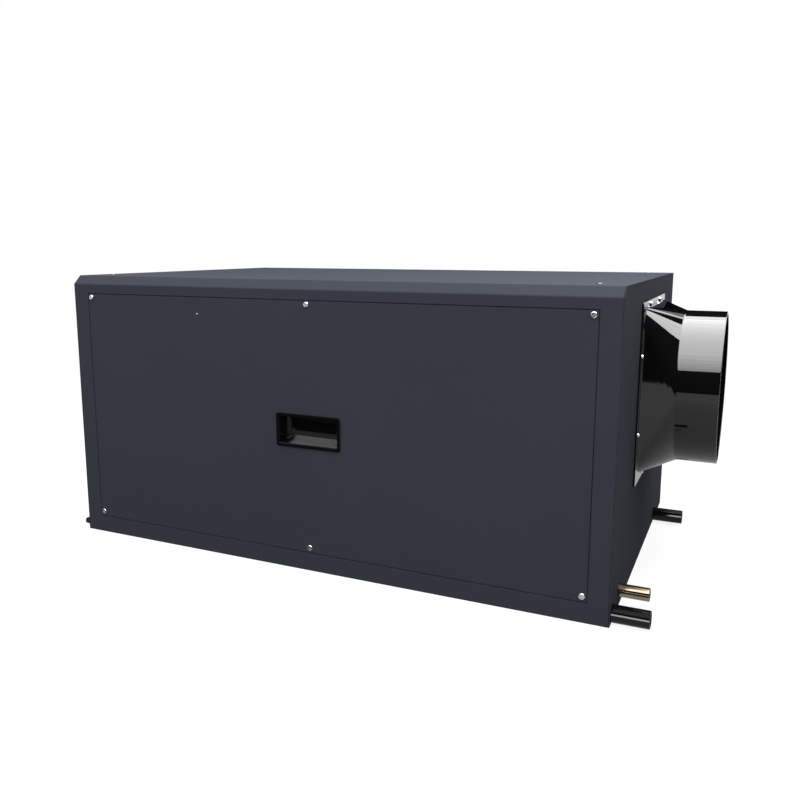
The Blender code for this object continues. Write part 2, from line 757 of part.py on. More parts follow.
def inlet_ring():
    """Bellmouth that leads the air from the front plate into the wheel."""
    plate_face = BLOWER_WIDTH / 2 + CLEARANCE + BLOWER_SHEET
    seat = plate_face + CLEARANCE
    top = seat + INLET_WALL
    end = -(WHEEL_BACK - WHEEL_WIDTH) + INLET_RUNNING_GAP
    rim = INLET_RADIUS + INLET_ROUND + INLET_FLANGE
    profile = [(rim, top), (rim, seat)]
    for step in range(5):
        angle = math.radians(90 + 90 * step / 4)
        reach = INLET_ROUND - INLET_WALL
        profile.append((INLET_RADIUS + INLET_ROUND + reach * math.cos(angle),
                        top - INLET_ROUND + reach * math.sin(angle)))
    profile += [(INLET_RADIUS + INLET_WALL, end), (INLET_RADIUS, end)]
    for step in range(5):
        angle = math.radians(180 - 90 * step / 4)
        profile.append((INLET_RADIUS + INLET_ROUND + INLET_ROUND * math.cos(angle),
                        top - INLET_ROUND + INLET_ROUND * math.sin(angle)))
    place = Matrix.Translation((BLOWER_X, 0, BLOWER_Z)) @ Matrix.Rotation(math.radians(90), 4, "X")
    turned("blower_inlet_ring", profile, place, GALVANISED, closed=True)


def blade_outline(angle):
    """Curved strip, its outer tip leaning clockwise."""
    inner = WHEEL_RADIUS - BLADE_DEPTH
    near, far = [], []
    for step in range(BLADE_STEPS + 1):
        part = step / BLADE_STEPS
        radius = inner + BLADE_DEPTH * part
        lean = angle - BLADE_SWEEP * part * part
        slope = math.atan2(2 * BLADE_SWEEP * part * radius, BLADE_DEPTH)
        half = BLADE_SHEET / 2 / radius / math.cos(slope)
        near.append(around_axis(radius, lean - half))
        far.append(around_axis(radius, lean + half))
    return near + list(reversed(far))


def blower_wheel():
    """Squirrel cage: curved blades between a disc with its hub and a front ring."""
    disc_face = WHEEL_BACK - WHEEL_DISC
    front = WHEEL_BACK - WHEEL_WIDTH
    blades_end = WHEEL_BACK - WHEEL_DISC / 2
    blades_start = front + WHEEL_RING / 2
    outlines = [blade_outline(math.tau * step / BLADE_COUNT) for step in range(BLADE_COUNT)]
    wheel = as_mesh(flat_sheet("blower_wheel", outlines, blades_end - blades_start, FACING_FRONT,
                               (0, (blades_start + blades_end) / 2, 0), GALVANISED))
    rim = WHEEL_RADIUS + BLADE_SHEET
    ring_inner = WHEEL_RADIUS - BLADE_DEPTH - BLADE_SHEET
    bore = SHAFT_RADIUS + CLEARANCE
    disc = [(rim, WHEEL_BACK), (rim, disc_face), (HUB_RADIUS, disc_face),
            (HUB_RADIUS, WHEEL_BACK - HUB_LENGTH), (bore, WHEEL_BACK - HUB_LENGTH),
            (bore, WHEEL_BACK)]
    ring = [(rim, front + WHEEL_RING), (rim, front), (ring_inner, front),
            (ring_inner, front + WHEEL_RING)]
    place = Matrix.Translation((BLOWER_X, 0, BLOWER_Z)) @ Matrix.Rotation(math.radians(-90), 4, "X")
    for name, profile in (("wheel_disc", disc), ("wheel_ring", ring)):
        union_with(wheel, turned(name, profile, place, GALVANISED, 2 * BLADE_COUNT, closed=True))


def blower_motor():
    """Motor on the back plate: flange, can with a rounded end, pilot and shaft."""
    plate_face = BLOWER_WIDTH / 2 + CLEARANCE + BLOWER_SHEET
    seat = plate_face + CLEARANCE
    end = seat + MOTOR_LENGTH
    pilot_end = seat - MOTOR_PILOT_LENGTH
    shaft_end = WHEEL_BACK - HUB_LENGTH - SHAFT_RADIUS / 2
    profile = [
        (0, end),
        (MOTOR_RADIUS - MOTOR_EDGE, end),
        (MOTOR_RADIUS, end - MOTOR_EDGE),
        (MOTOR_RADIUS, seat + MOTOR_FLANGE),
        (MOTOR_FLANGE_RADIUS, seat + MOTOR_FLANGE),
        (MOTOR_FLANGE_RADIUS, seat),
        (MOTOR_PILOT_RADIUS, seat),
        (MOTOR_PILOT_RADIUS, pilot_end),
        (SHAFT_RADIUS, pilot_end),
        (SHAFT_RADIUS, shaft_end),
        (0, shaft_end),
    ]
    place = Matrix.Translation((BLOWER_X, 0, BLOWER_Z)) @ Matrix.Rotation(math.radians(-90), 4, "X")
    turned("blower_motor", profile, place, MOTOR_GREY)


# The scroll is as large as fits between the tray and the height of the duct's centre
SCROLL_SWEEP = CUTOFF_ANGLE + math.radians(270) + math.atan(SCROLL_GROWTH)
TOP_ANGLE = CUTOFF_ANGLE - SCROLL_SWEEP
TOP_SHARE = math.exp(SCROLL_GROWTH * SCROLL_SWEEP) * math.sin(TOP_ANGLE)
LOW_SHARE = math.exp(SCROLL_GROWTH * (CUTOFF_ANGLE + math.pi / 2))
NOSE_RISE = CUTOFF_RADIUS * (1 + math.sin(CUTOFF_ANGLE))
OUTLET_SHARE = (TOP_SHARE + math.sin(CUTOFF_ANGLE)) / 2
BLOWER_FLOOR_GAP = DUCT_CENTRE_Z * BLOWER_FLOOR_SHARE
SCROLL_START = (DUCT_CENTRE_Z - BLOWER_FLOOR_GAP - NOSE_RISE / 2) / (OUTLET_SHARE + LOW_SHARE)
BLOWER_Z = BLOWER_FLOOR_GAP + SCROLL_START * LOW_SHARE
OUTLET_LOW = BLOWER_Z + SCROLL_START * math.sin(CUTOFF_ANGLE) + NOSE_RISE
OUTLET_HIGH = BLOWER_Z + SCROLL_START * TOP_SHARE
OUTLET_X = HALF_LENGTH - SHEET - 2 * CLEARANCE - BLOWER_SHEET
BLOWER_X = OUTLET_X - BLOWER_THROAT - SCROLL_START
WHEEL_RADIUS = SCROLL_START - CUTOFF_GAP
WHEEL_BACK = BLOWER_WIDTH / 2 - WHEEL_BACK_GAP
WHEEL_WIDTH = BLOWER_WIDTH - WHEEL_BACK_GAP - WHEEL_FRONT_GAP
BLADE_DEPTH = WHEEL_RADIUS * BLADE_SHARE
INLET_RADIUS = WHEEL_RADIUS - BLADE_DEPTH - INLET_ROUND

clear_scene()
DRYER = make_collection("ceiling_air_dryer")
TOOLS = make_collection("joining_shapes")
outer_cover()
access_panel()
pull_handle()
end_panels()
back_panel()
base_pan()
corner_posts()
hanger_plates()
duct_adapter("supply_adapter", 1)
duct_adapter("return_adapter", -1)
pipes()
cable_gland()
return_filter()
blower_scroll()
blower_side_plates()
blower_outlet_flange()
inlet_ring()
blower_wheel()
blower_motor()
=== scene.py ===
"""Looks of the ceiling mounted air dryer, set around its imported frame.

Metres. The access panel faces -Y, the supply duct leaves at +X. Each operator makes one
piece or one group of like pieces, and the stage operator makes the floor, lamps and camera.
"""

import json
import math

import bmesh
import bpy
from bpy.props import FloatProperty, FloatVectorProperty, IntProperty, PointerProperty
from mathutils import Matrix, Vector

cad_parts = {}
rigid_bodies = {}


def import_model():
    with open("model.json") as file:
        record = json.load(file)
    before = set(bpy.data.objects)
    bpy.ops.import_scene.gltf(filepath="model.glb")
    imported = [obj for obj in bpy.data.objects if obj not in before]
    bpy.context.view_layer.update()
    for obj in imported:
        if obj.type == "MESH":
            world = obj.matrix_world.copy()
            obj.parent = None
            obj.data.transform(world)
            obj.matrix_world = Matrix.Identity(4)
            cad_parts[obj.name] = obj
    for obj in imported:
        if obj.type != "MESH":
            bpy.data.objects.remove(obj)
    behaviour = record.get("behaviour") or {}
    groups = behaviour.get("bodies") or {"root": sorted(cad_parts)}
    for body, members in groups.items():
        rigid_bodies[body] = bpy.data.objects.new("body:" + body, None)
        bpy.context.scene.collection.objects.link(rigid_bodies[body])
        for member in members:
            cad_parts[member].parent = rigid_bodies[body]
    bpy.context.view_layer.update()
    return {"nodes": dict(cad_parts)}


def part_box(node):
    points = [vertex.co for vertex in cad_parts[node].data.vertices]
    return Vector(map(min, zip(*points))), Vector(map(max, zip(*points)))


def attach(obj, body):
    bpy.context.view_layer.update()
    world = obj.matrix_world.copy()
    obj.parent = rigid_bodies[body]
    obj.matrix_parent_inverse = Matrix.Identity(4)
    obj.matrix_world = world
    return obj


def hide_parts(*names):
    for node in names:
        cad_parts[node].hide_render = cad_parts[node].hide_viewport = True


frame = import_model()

bl_info = {
    "name": "Ceiling air dryer looks",
    "version": (1, 0, 0),
    "blender": (4, 5, 0),
    "location": "3D View > Sidebar > Air dryer",
    "description": "Finishes, small parts and studio for a ducted ceiling air dryer",
    "category": "Object",
}

DOOR_LOW, DOOR_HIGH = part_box("access_panel")
BODY_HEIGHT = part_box("right_end_panel")[1][2]

# Points nearer than this are on the same ring or face
NEAR = 0.00001


# Sizes and colours that a user would change

def length(name, description, default):
    return FloatProperty(name=name, description=description, default=default, unit="LENGTH",
                         subtype="DISTANCE", precision=5)


def colour(name, description, default):
    return FloatVectorProperty(name=name, description=description, default=default, size=3,
                               min=0, max=1, subtype="COLOR")


class DryerFinishes(bpy.types.PropertyGroup):
    front_paint: colour("Front paint", "Powder coat of the cover and the panel",
                        (0.0335, 0.0370, 0.0485))
    # Painted shade: the front paint darkened to about 0.83 for ends that face away from the light,
    # also used on the back and the underside
    end_paint: colour("End paint with painted shade", "Powder coat of the ends, the back and the underside",
                      (0.0282, 0.0316, 0.0395))
    gloss_black: colour("Gloss black", "Moulded adapters, handle and pipe stubs",
                        (0.004, 0.004, 0.0045))
    # Painted light: a lighter black for the lit floor of the handle's cup
    painted_light: colour("Painted light in the handle", "Matt floor of the handle's cup", (0.075, 0.075, 0.078))
    copper: colour("Copper", "Bright tube", (0.38, 0.30, 0.215))
    zinc: colour("Zinc", "Coated sheet inside", (0.50, 0.51, 0.52))
    steel: colour("Steel", "Screws", (0.62, 0.63, 0.65))
    bolt_steel: colour("Bolt steel", "Dull hanging bolts", (0.10, 0.10, 0.105))
    cloth: colour("Filter cloth", "Pleated media", (0.66, 0.68, 0.70))
    foam: colour("Foam", "Panel lining", (0.028, 0.028, 0.030))
    motor: colour("Motor", "Enamelled can", (0.10, 0.10, 0.11))


class DryerSizes(bpy.types.PropertyGroup):
    sheet_edge: length("Sheet edge", "Rounding of cut sheet edges", 0.0003)
    collar_radius: length("Collar radius", "Outside of the round collar", 0.100)
    collar_length: length("Collar length", "Straight part of the collar", 0.050)
    adapter_wall: length("Adapter wall", "Thickness of the moulding", 0.0025)
    flange_strip: length("Flange strip", "Flat strip round the adapter's root", 0.0095)
    flange_corner: length("Flange corner", "Corner radius of the flange", 0.003)
    root_corner: length("Root corner", "Corner radius of the square root", 0.022)
    root_rise: length("Root rise", "How far the root sits above the flange's middle", 0.0027)
    root_crease: length("Root crease", "Moulded radius where the square root rises", 0.0012)
    collar_crease: length("Collar crease", "Moulded radius where the collar starts", 0.0012)
    moulded_edge: length("Moulded edge", "Rounding of the moulding's rims", 0.0006)
    corner_steps: IntProperty(name="Corner steps", description="Segments of a moulded corner",
                              default=23, min=4)
    handle_rim: length("Handle rim", "Width of the handle's rim", 0.0045)
    handle_corner: length("Handle corner", "Corner radius of the handle", 0.003)
    handle_wall: length("Handle wall", "Thickness of the handle", 0.0015)
    handle_draft: length("Handle draft", "How far each side of the cup leans in", 0.001)
    handle_fillet: length("Handle fillet", "Rounding of the cup's floor", 0.013)
    copper_wall: length("Copper wall", "Thickness of the copper tube", 0.001)
    drain_wall: length("Drain wall", "Thickness of the drain stubs", 0.002)
    gland_edge: length("Gland edge", "Rounding of the gland's rims", 0.0004)
    screw_radius: length("Panel screw", "Radius of a panel screw's head", 0.0040)
    screw_rise: length("Panel screw height", "Height of a panel screw's head", 0.0020)
    flange_screw_radius: length("Flange screw", "Radius of a flange screw's head", 0.0026)
    bolt_radius: length("Hanging bolt", "Radius of a hanging bolt's head", 0.0036)
    bolt_rise: length("Hanging bolt height", "Height of a hanging bolt's head", 0.0014)
    panel_screw_inset: length("Panel screw inset", "From the panel's edge", 0.0055)
    lower_screw_lift: length("Lower screw lift", "Lower row, above its inset", 0.0012)
    upper_screw_lift: length("Upper screw lift", "Upper row, above its inset", 0.0004)
    back_screw_inset: length("Back screw inset", "From the back panel's edge", 0.011)
    flange_screw_offset: length("Flange screw offset", "From the flange's middle", 0.0495)
    rivet_radius: length("Rivet", "Radius of the small rivet in the panel", 0.0013)
    rivet_x: length("Rivet X", "Place of the rivet along the panel", -0.1705)
    rivet_z: length("Rivet Z", "Height of the rivet above the floor", 0.3365)
    pleat_edge: length("Pleat edge", "Rounding of the filter's folds", 0.0004)
    motor_edge: length("Motor edge", "Rounding of the motor can", 0.0006)


class DryerStage(bpy.types.PropertyGroup):
    floor: colour("Floor", "Pale floor", (0.18, 0.18, 0.18))
    softbox: FloatProperty(name="Softbox", description="Radiance of the overhead lamp",
                           default=2.7, min=0)
    highlight: FloatProperty(name="Highlight", description="Radiance that gloss alone reflects",
                             default=10.3, min=0)
    ambient: FloatProperty(name="Ambient", description="Strength of the world on matt surfaces",
                           default=0.8, min=0)


def finishes():
    return bpy.context.scene.dryer_finishes


def sizes():
    return bpy.context.scene.dryer_sizes


# Shader node groups, each built once

# Scales of the noises that don't change from finish to finish, per metre
PATCH_SCALE = 5.0
SPECKLE_SCALE = 1500.0
SMUDGE_SCALE = 42.0
STAIN_SCALE = 60.0
DUST_SCALE = 22.0
BRUSH_STRETCH = (0.04, 1.0, 1.0)
# Part of a noise's range that holds nearly all of its values
NOISE_RANGE = (0.3, 0.7)


def new_group(name, inputs, outputs):
    tree = bpy.data.node_groups.new(name, "ShaderNodeTree")
    for label, kind, value in inputs:
        socket = tree.interface.new_socket(name=label, in_out="INPUT", socket_type=kind)
        if kind == "NodeSocketColor":
            value = (*value, 1.0)
        socket.default_value = value
    for label, kind in outputs:
        tree.interface.new_socket(name=label, in_out="OUTPUT", socket_type=kind)
    return tree, tree.nodes.new("NodeGroupInput"), tree.nodes.new("NodeGroupOutput")


def add_node(tree, kind, settings=None, **values):
    node = tree.nodes.new(kind)
    for key, value in (settings or {}).items():
        setattr(node, key, value)
    for key, value in values.items():
        node.inputs[key.replace("_", " ")].default_value = value
    return node


def maths(tree, operation, first, second):
    node = add_node(tree, "ShaderNodeMath", {"operation": operation})
    for socket, value in zip(node.inputs, (first, second)):
        if isinstance(value, (int, float)):
            socket.default_value = value
        else:
            tree.links.new(value, socket)
    return node.outputs[0]


def object_noise(tree, scale, detail=2.0, roughness=0.5, stretch=None):
    """Noise on the piece's own place in metres; scale is a socket or a number."""
    place = add_node(tree, "ShaderNodeTexCoord").outputs["Object"]
    if stretch is not None:
        mapping = add_node(tree, "ShaderNodeMapping", Scale=stretch)
        tree.links.new(place, mapping.inputs["Vector"])
        place = mapping.outputs["Vector"]
    noise = add_node(tree, "ShaderNodeTexNoise", Detail=detail, Roughness=roughness)
    tree.links.new(place, noise.inputs["Vector"])
    if isinstance(scale, (int, float)):
        noise.inputs["Scale"].default_value = scale
    else:
        tree.links.new(scale, noise.inputs["Scale"])
    return noise.outputs["Fac"]


def spread(tree, value, low, high, from_low=0.0, from_high=1.0):
    node = add_node(tree, "ShaderNodeMapRange")
    tree.links.new(value, node.inputs["Value"])
    for name, number in (("From Min", from_low), ("From Max", from_high), ("To Min", low),
                         ("To Max", high)):
        if isinstance(number, (int, float)):
            node.inputs[name].default_value = number
        else:
            tree.links.new(number, node.inputs[name])
    return node.outputs["Result"]


def tinted(tree, base, factor):
    """The base colour made lighter or darker by a factor around one."""
    scale = add_node(tree, "ShaderNodeVectorMath", {"operation": "SCALE"})
    tree.links.new(base, scale.inputs[0])
    tree.links.new(factor, scale.inputs["Scale"])
    return scale.outputs["Vector"]


def powder_coat_group():
    """Orange peel with a fine grain, and broad faint patches of tone."""
    tree, entry, result = new_group(
        "powder_coat",
        [("Colour", "NodeSocketColor", (0.05, 0.05, 0.05)), ("Patches", "NodeSocketFloat", 0.05),
         ("Roughness", "NodeSocketFloat", 0.5), ("Peel Scale", "NodeSocketFloat", 420.0)],
        [("Colour", "NodeSocketColor"), ("Roughness", "NodeSocketFloat"),
         ("Height", "NodeSocketFloat")])
    broad = object_noise(tree, PATCH_SCALE, detail=3.0)
    speckle = object_noise(tree, SPECKLE_SCALE, detail=1.0)
    peel = object_noise(tree, entry.outputs["Peel Scale"], roughness=0.45)
    high = maths(tree, "ADD", 1.0, entry.outputs["Patches"])
    low = maths(tree, "SUBTRACT", 1.0, entry.outputs["Patches"])
    tone = spread(tree, broad, low, high, *NOISE_RANGE)
    grain = spread(tree, speckle, 0.97, 1.03)
    both = maths(tree, "MULTIPLY", tone, grain)
    tree.links.new(tinted(tree, entry.outputs["Colour"], both), result.inputs["Colour"])
    shine = spread(tree, broad, -0.04, 0.04, *NOISE_RANGE)
    tree.links.new(maths(tree, "ADD", entry.outputs["Roughness"], shine),
                   result.inputs["Roughness"])
    tree.links.new(peel, result.inputs["Height"])
    return tree


def moulded_gloss_group():
    """Polished moulding: a faint long wave in the surface and light handling marks."""
    tree, entry, result = new_group(
        "moulded_gloss",
        [("Colour", "NodeSocketColor", (0.01, 0.01, 0.01)), ("Roughness", "NodeSocketFloat", 0.05),
         ("Marks", "NodeSocketFloat", 0.04), ("Wave Scale", "NodeSocketFloat", 18.0)],
        [("Colour", "NodeSocketColor"), ("Roughness", "NodeSocketFloat"),
         ("Height", "NodeSocketFloat")])
    wave = object_noise(tree, entry.outputs["Wave Scale"], detail=1.0)
    smudge = object_noise(tree, SMUDGE_SCALE, detail=4.0, roughness=0.6)
    marks = spread(tree, smudge, 0.0, entry.outputs["Marks"], from_low=0.45, from_high=0.8)
    tree.links.new(maths(tree, "ADD", entry.outputs["Roughness"], marks),
                   result.inputs["Roughness"])
    tone = spread(tree, smudge, 0.9, 1.15)
    tree.links.new(tinted(tree, entry.outputs["Colour"], tone), result.inputs["Colour"])
    tree.links.new(wave, result.inputs["Height"])
    return tree


def brushed_metal_group():
    """Fine drawn lines along X with a slow change of tone."""
    tree, entry, result = new_group(
        "brushed_metal",
        [("Colour", "NodeSocketColor", (0.6, 0.6, 0.6)), ("Roughness", "NodeSocketFloat", 0.25),
         ("Line Scale", "NodeSocketFloat", 900.0)],
        [("Colour", "NodeSocketColor"), ("Roughness", "NodeSocketFloat"),
         ("Height", "NodeSocketFloat")])
    lines = object_noise(tree, entry.outputs["Line Scale"], stretch=BRUSH_STRETCH)
    stain = object_noise(tree, STAIN_SCALE, detail=4.0, roughness=0.65)
    tone = spread(tree, stain, 0.82, 1.08, *NOISE_RANGE)
    tree.links.new(tinted(tree, entry.outputs["Colour"], tone), result.inputs["Colour"])
    shine = spread(tree, lines, -0.06, 0.08)
    tree.links.new(maths(tree, "ADD", entry.outputs["Roughness"], shine),
                   result.inputs["Roughness"])
    tree.links.new(lines, result.inputs["Height"])
    return tree


def zinc_group():
    """Spangle of hot dipped sheet: flat crystals of slightly different tone and shine."""
    tree, entry, result = new_group(
        "zinc_spangle",
        [("Colour", "NodeSocketColor", (0.5, 0.5, 0.5)),
         ("Crystal Scale", "NodeSocketFloat", 110.0)],
        [("Colour", "NodeSocketColor"), ("Roughness", "NodeSocketFloat"),
         ("Height", "NodeSocketFloat")])
    place = add_node(tree, "ShaderNodeTexCoord").outputs["Object"]
    crystals = add_node(tree, "ShaderNodeTexVoronoi", {"feature": "F1"})
    tree.links.new(place, crystals.inputs["Vector"])
    tree.links.new(entry.outputs["Crystal Scale"], crystals.inputs["Scale"])
    split = add_node(tree, "ShaderNodeSeparateColor")
    tree.links.new(crystals.outputs["Color"], split.inputs["Color"])
    tone = spread(tree, split.outputs["Red"], 0.84, 1.12)
    tree.links.new(tinted(tree, entry.outputs["Colour"], tone), result.inputs["Colour"])
    tree.links.new(spread(tree, split.outputs["Green"], 0.30, 0.52), result.inputs["Roughness"])
    tree.links.new(split.outputs["Blue"], result.inputs["Height"])
    return tree


def fibre_group():
    """Matted fibres for the filter cloth, or cells for foam at a smaller scale."""
    tree, entry, result = new_group(
        "fibres",
        [("Colour", "NodeSocketColor", (0.6, 0.6, 0.6)), ("Fibre Scale", "NodeSocketFloat", 700.0),
         ("Roughness", "NodeSocketFloat", 0.95)],
        [("Colour", "NodeSocketColor"), ("Roughness", "NodeSocketFloat"),
         ("Height", "NodeSocketFloat")])
    fibres = object_noise(tree, entry.outputs["Fibre Scale"], detail=4.0, roughness=0.7)
    dust = object_noise(tree, DUST_SCALE, detail=3.0)
    tone = maths(tree, "MULTIPLY", spread(tree, fibres, 0.78, 1.15, *NOISE_RANGE),
                 spread(tree, dust, 0.90, 1.06, *NOISE_RANGE))
    tree.links.new(tinted(tree, entry.outputs["Colour"], tone), result.inputs["Colour"])
    shine = spread(tree, fibres, -0.08, 0.04)
    tree.links.new(maths(tree, "ADD", entry.outputs["Roughness"], shine),
                   result.inputs["Roughness"])
    tree.links.new(fibres, result.inputs["Height"])
    return tree


GROUP_MAKERS = {
    "powder_coat": powder_coat_group,
    "moulded_gloss": moulded_gloss_group,
    "brushed_metal": brushed_metal_group,
    "zinc_spangle": zinc_group,
    "fibres": fibre_group,
}


def finish(name, group_name, base, metallic=0.0, ior=1.5, specular=0.5, bump=0.1,
           depth=0.0002, **values):
    """Principled material whose colour, roughness and height come from one of the groups."""
    if name in bpy.data.materials:
        return bpy.data.materials[name]
    group = bpy.data.node_groups.get(group_name) or GROUP_MAKERS[group_name]()
    material = bpy.data.materials.new(name)
    material.use_nodes = True
    material.diffuse_color = (*base, 1.0)
    tree = material.node_tree
    shader = tree.nodes["Principled BSDF"]
    shader.inputs["Metallic"].default_value = metallic
    shader.inputs["IOR"].default_value = ior
    shader.inputs["Specular IOR Level"].default_value = specular
    surface = add_node(tree, "ShaderNodeGroup", {"node_tree": group})
    surface.inputs["Colour"].default_value = (*base, 1.0)
    for key, value in values.items():
        surface.inputs[key.replace("_", " ").title()].default_value = value
    relief = add_node(tree, "ShaderNodeBump", Strength=bump, Distance=depth)
    tree.links.new(surface.outputs["Height"], relief.inputs["Height"])
    tree.links.new(surface.outputs["Colour"], shader.inputs["Base Color"])
    tree.links.new(surface.outputs["Roughness"], shader.inputs["Roughness"])
    tree.links.new(relief.outputs["Normal"], shader.inputs["Normal"])
    return material


def front_paint():
    return finish("front_powder_coat", "powder_coat", finishes().front_paint, bump=0.12,
                  roughness=0.7, patches=0.03, specular=0.03)


# Painted shade: the front powder coat made darker for the ends, the back and the underside
def end_paint():
    return finish("end_powder_coat_painted_shade", "powder_coat", finishes().end_paint, bump=0.12,
                  roughness=0.8, patches=0.03, specular=0.015)


def adapter_black():
    return finish("adapter_gloss_black", "moulded_gloss", finishes().gloss_black, ior=1.46,
                  bump=0.02, roughness=0.03, marks=0.02)


# Painted light on the floor of the handle's cup, where the overhead light falls: upward faces are
# painted lighter and made rougher, with a painted shadow edge near the left side. Each pair is
# where the painted light starts and
# where it is full: how far a face looks up, the depth behind the panel and the distance from the
# left side
PAINTED_LIGHT_TURN = (0.44, 0.52)
PAINTED_LIGHT_DEPTH = (0.0015, 0.0025)
PAINTED_LIGHT_ALONG = (0.015, 0.021)
PAINTED_LIGHT_ROUGHNESS = 0.4


def painted_light_mask(tree):
    """Painted light: one on the upward floor of the handle's cup, past the painted shadow edge near
    its left side, and nought elsewhere.
    """
    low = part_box("pull_handle")[0]
    seat = add_node(tree, "ShaderNodeTexCoord")
    turned = add_node(tree, "ShaderNodeSeparateXYZ")
    place = add_node(tree, "ShaderNodeSeparateXYZ")
    tree.links.new(seat.outputs["Normal"], turned.inputs[0])
    tree.links.new(seat.outputs["Object"], place.inputs[0])
    upward = spread(tree, turned.outputs["Z"], 0.0, 1.0, *PAINTED_LIGHT_TURN)
    behind = spread(tree, place.outputs["Y"], 0.0, 1.0,
                    from_low=low[1] + PAINTED_LIGHT_DEPTH[0], from_high=low[1] + PAINTED_LIGHT_DEPTH[1])
    along = spread(tree, place.outputs["X"], 0.0, 1.0,
                   from_low=low[0] + PAINTED_LIGHT_ALONG[0], from_high=low[0] + PAINTED_LIGHT_ALONG[1])
    return maths(tree, "MULTIPLY", maths(tree, "MULTIPLY", upward, behind), along)


def handle_black():
    """Gloss black whose cup floor has painted light: a lighter colour where the overhead light
    falls, also made rougher there.
    """
    material = finish("handle_gloss_black", "moulded_gloss", finishes().gloss_black, ior=1.5,
                      specular=0.15, bump=0.02, roughness=0.10, marks=0.03)
    tree = material.node_tree
    surface = next(node for node in tree.nodes if node.type == "GROUP")
    shader = tree.nodes["Principled BSDF"]
    # Painted light: the cup's floor is mixed to a lighter colour and made rougher
    painted_light = painted_light_mask(tree)
    tint = add_node(tree, "ShaderNodeMix", {"data_type": "RGBA"})
    base, other = [socket for socket in tint.inputs if socket.type == "RGBA"]
    tree.links.new(painted_light, tint.inputs["Factor"])
    tree.links.new(surface.outputs["Colour"], base)
    other.default_value = (*finishes().painted_light, 1.0)
    mixed = next(socket for socket in tint.outputs if socket.type == "RGBA")
    tree.links.new(mixed, shader.inputs["Base Color"])
    dulled = maths(tree, "MULTIPLY", painted_light, PAINTED_LIGHT_ROUGHNESS)
    tree.links.new(maths(tree, "ADD", surface.outputs["Roughness"], dulled),
                   shader.inputs["Roughness"])
    return material


def pipe_black():
    return finish("pipe_gloss_black", "moulded_gloss", finishes().gloss_black, ior=1.5,
                  specular=0.3, bump=0.02, roughness=0.06, marks=0.03)


def copper():
    return finish("bright_copper", "brushed_metal", finishes().copper, metallic=1.0, bump=0.05,
                  roughness=0.16)


def steel():
    return finish("bright_steel", "brushed_metal", finishes().steel, metallic=1.0, bump=0.04,
                  roughness=0.20)


def bolt_steel():
    return finish("blackened_steel", "brushed_metal", finishes().bolt_steel, metallic=1.0,
                  bump=0.04, roughness=0.22)


def zinc():
    return finish("zinc_sheet", "zinc_spangle", finishes().zinc, metallic=0.9, bump=0.05)


def cloth():
    return finish("filter_cloth", "fibres", finishes().cloth, bump=0.5, depth=0.0004)


def foam():
    return finish("closed_cell_foam", "fibres", finishes().foam, bump=0.4, fibre_scale=450.0)


def motor_enamel():
    return finish("motor_enamel", "powder_coat", finishes().motor, bump=0.1, roughness=0.42)


# Modelling helpers

def deselect():
    if bpy.context.object is not None and bpy.context.object.mode != "OBJECT":
        bpy.ops.object.mode_set(mode="OBJECT")
    bpy.ops.object.select_all(action="DESELECT")


def only(piece):
    deselect()
    piece.select_set(True)
    bpy.context.view_layer.objects.active = piece


def edit(piece, kind="FACE"):
    only(piece)
    bpy.ops.object.mode_set(mode="EDIT")
    bpy.ops.mesh.select_mode(type=kind)
    bpy.ops.mesh.select_all(action="DESELECT")


def pick(piece, kind, wanted):
    """Selects, in edit mode, the faces, edges or vertices that pass a test."""
    shape = bmesh.from_edit_mesh(piece.data)
    for part in {"FACE": shape.faces, "EDGE": shape.edges, "VERT": shape.verts}[kind]:
        part.select_set(wanted(part))
    shape.select_flush_mode()
    bmesh.update_edit_mesh(piece.data)


def middle(part):
    """Middle of an edge or face."""
    points = [vertex.co for vertex in part.verts]
    return sum(points, Vector()) / len(points)


def apply_modifier(piece, kind, **settings):
    only(piece)
    modifier = piece.modifiers.new(kind.lower(), kind)
    for key, value in settings.items():
        setattr(modifier, key, value)
    bpy.ops.object.modifier_apply(modifier=modifier.name)


def bevel(piece, width, segments=2, degrees=30):
    apply_modifier(piece, "BEVEL", width=width, segments=segments, limit_method="ANGLE",
                   angle_limit=math.radians(degrees), use_clamp_overlap=True,
                   harden_normals=False)


def smooth(piece, degrees=60):
    """Smooth shading in which broad flat faces keep their own direction."""
    only(piece)
    bpy.ops.object.shade_smooth_by_angle(angle=math.radians(degrees))
    apply_modifier(piece, "WEIGHTED_NORMAL", keep_sharp=True, weight=50)


def complete(piece, name, material, slot, *nodes):
    """Names, paints and hangs a finished piece on the body."""
    piece.name = name
    piece.data.name = name
    piece.data.materials.clear()
    piece.data.materials.append(material)
    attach(piece, "root")
    if nodes:
        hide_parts(*nodes)
    return piece


def node_copy(node):
    """Own copy of a CAD node's mesh, its loose triangles merged into faces."""
    piece = bpy.data.objects.new(node + "_dressed", frame["nodes"][node].data.copy())
    bpy.context.scene.collection.objects.link(piece)
    edit(piece)
    bpy.ops.mesh.select_all(action="SELECT")
    bpy.ops.mesh.remove_doubles(threshold=NEAR)
    bpy.ops.mesh.dissolve_limited(angle_limit=math.radians(0.5))
    bpy.ops.object.mode_set(mode="OBJECT")
    return piece


def dress(node, material, slot, edge=None, degrees=30):
    """CAD sheet with its cut edges rounded, in its finish."""
    piece = node_copy(node)
    if edge is None:
        edge = sizes().sheet_edge
    if edge > 0:
        bevel(piece, edge, degrees=degrees)
    smooth(piece)
    return complete(piece, node + "_dressed", material, slot, node)


def drop_copy(model, matrix, name):
    """Copy of a modelled small part with its own mesh, put in place in its mesh."""
    piece = bpy.data.objects.new(name, model.data.copy())
    bpy.context.scene.collection.objects.link(piece)
    piece.data.transform(matrix)
    return piece


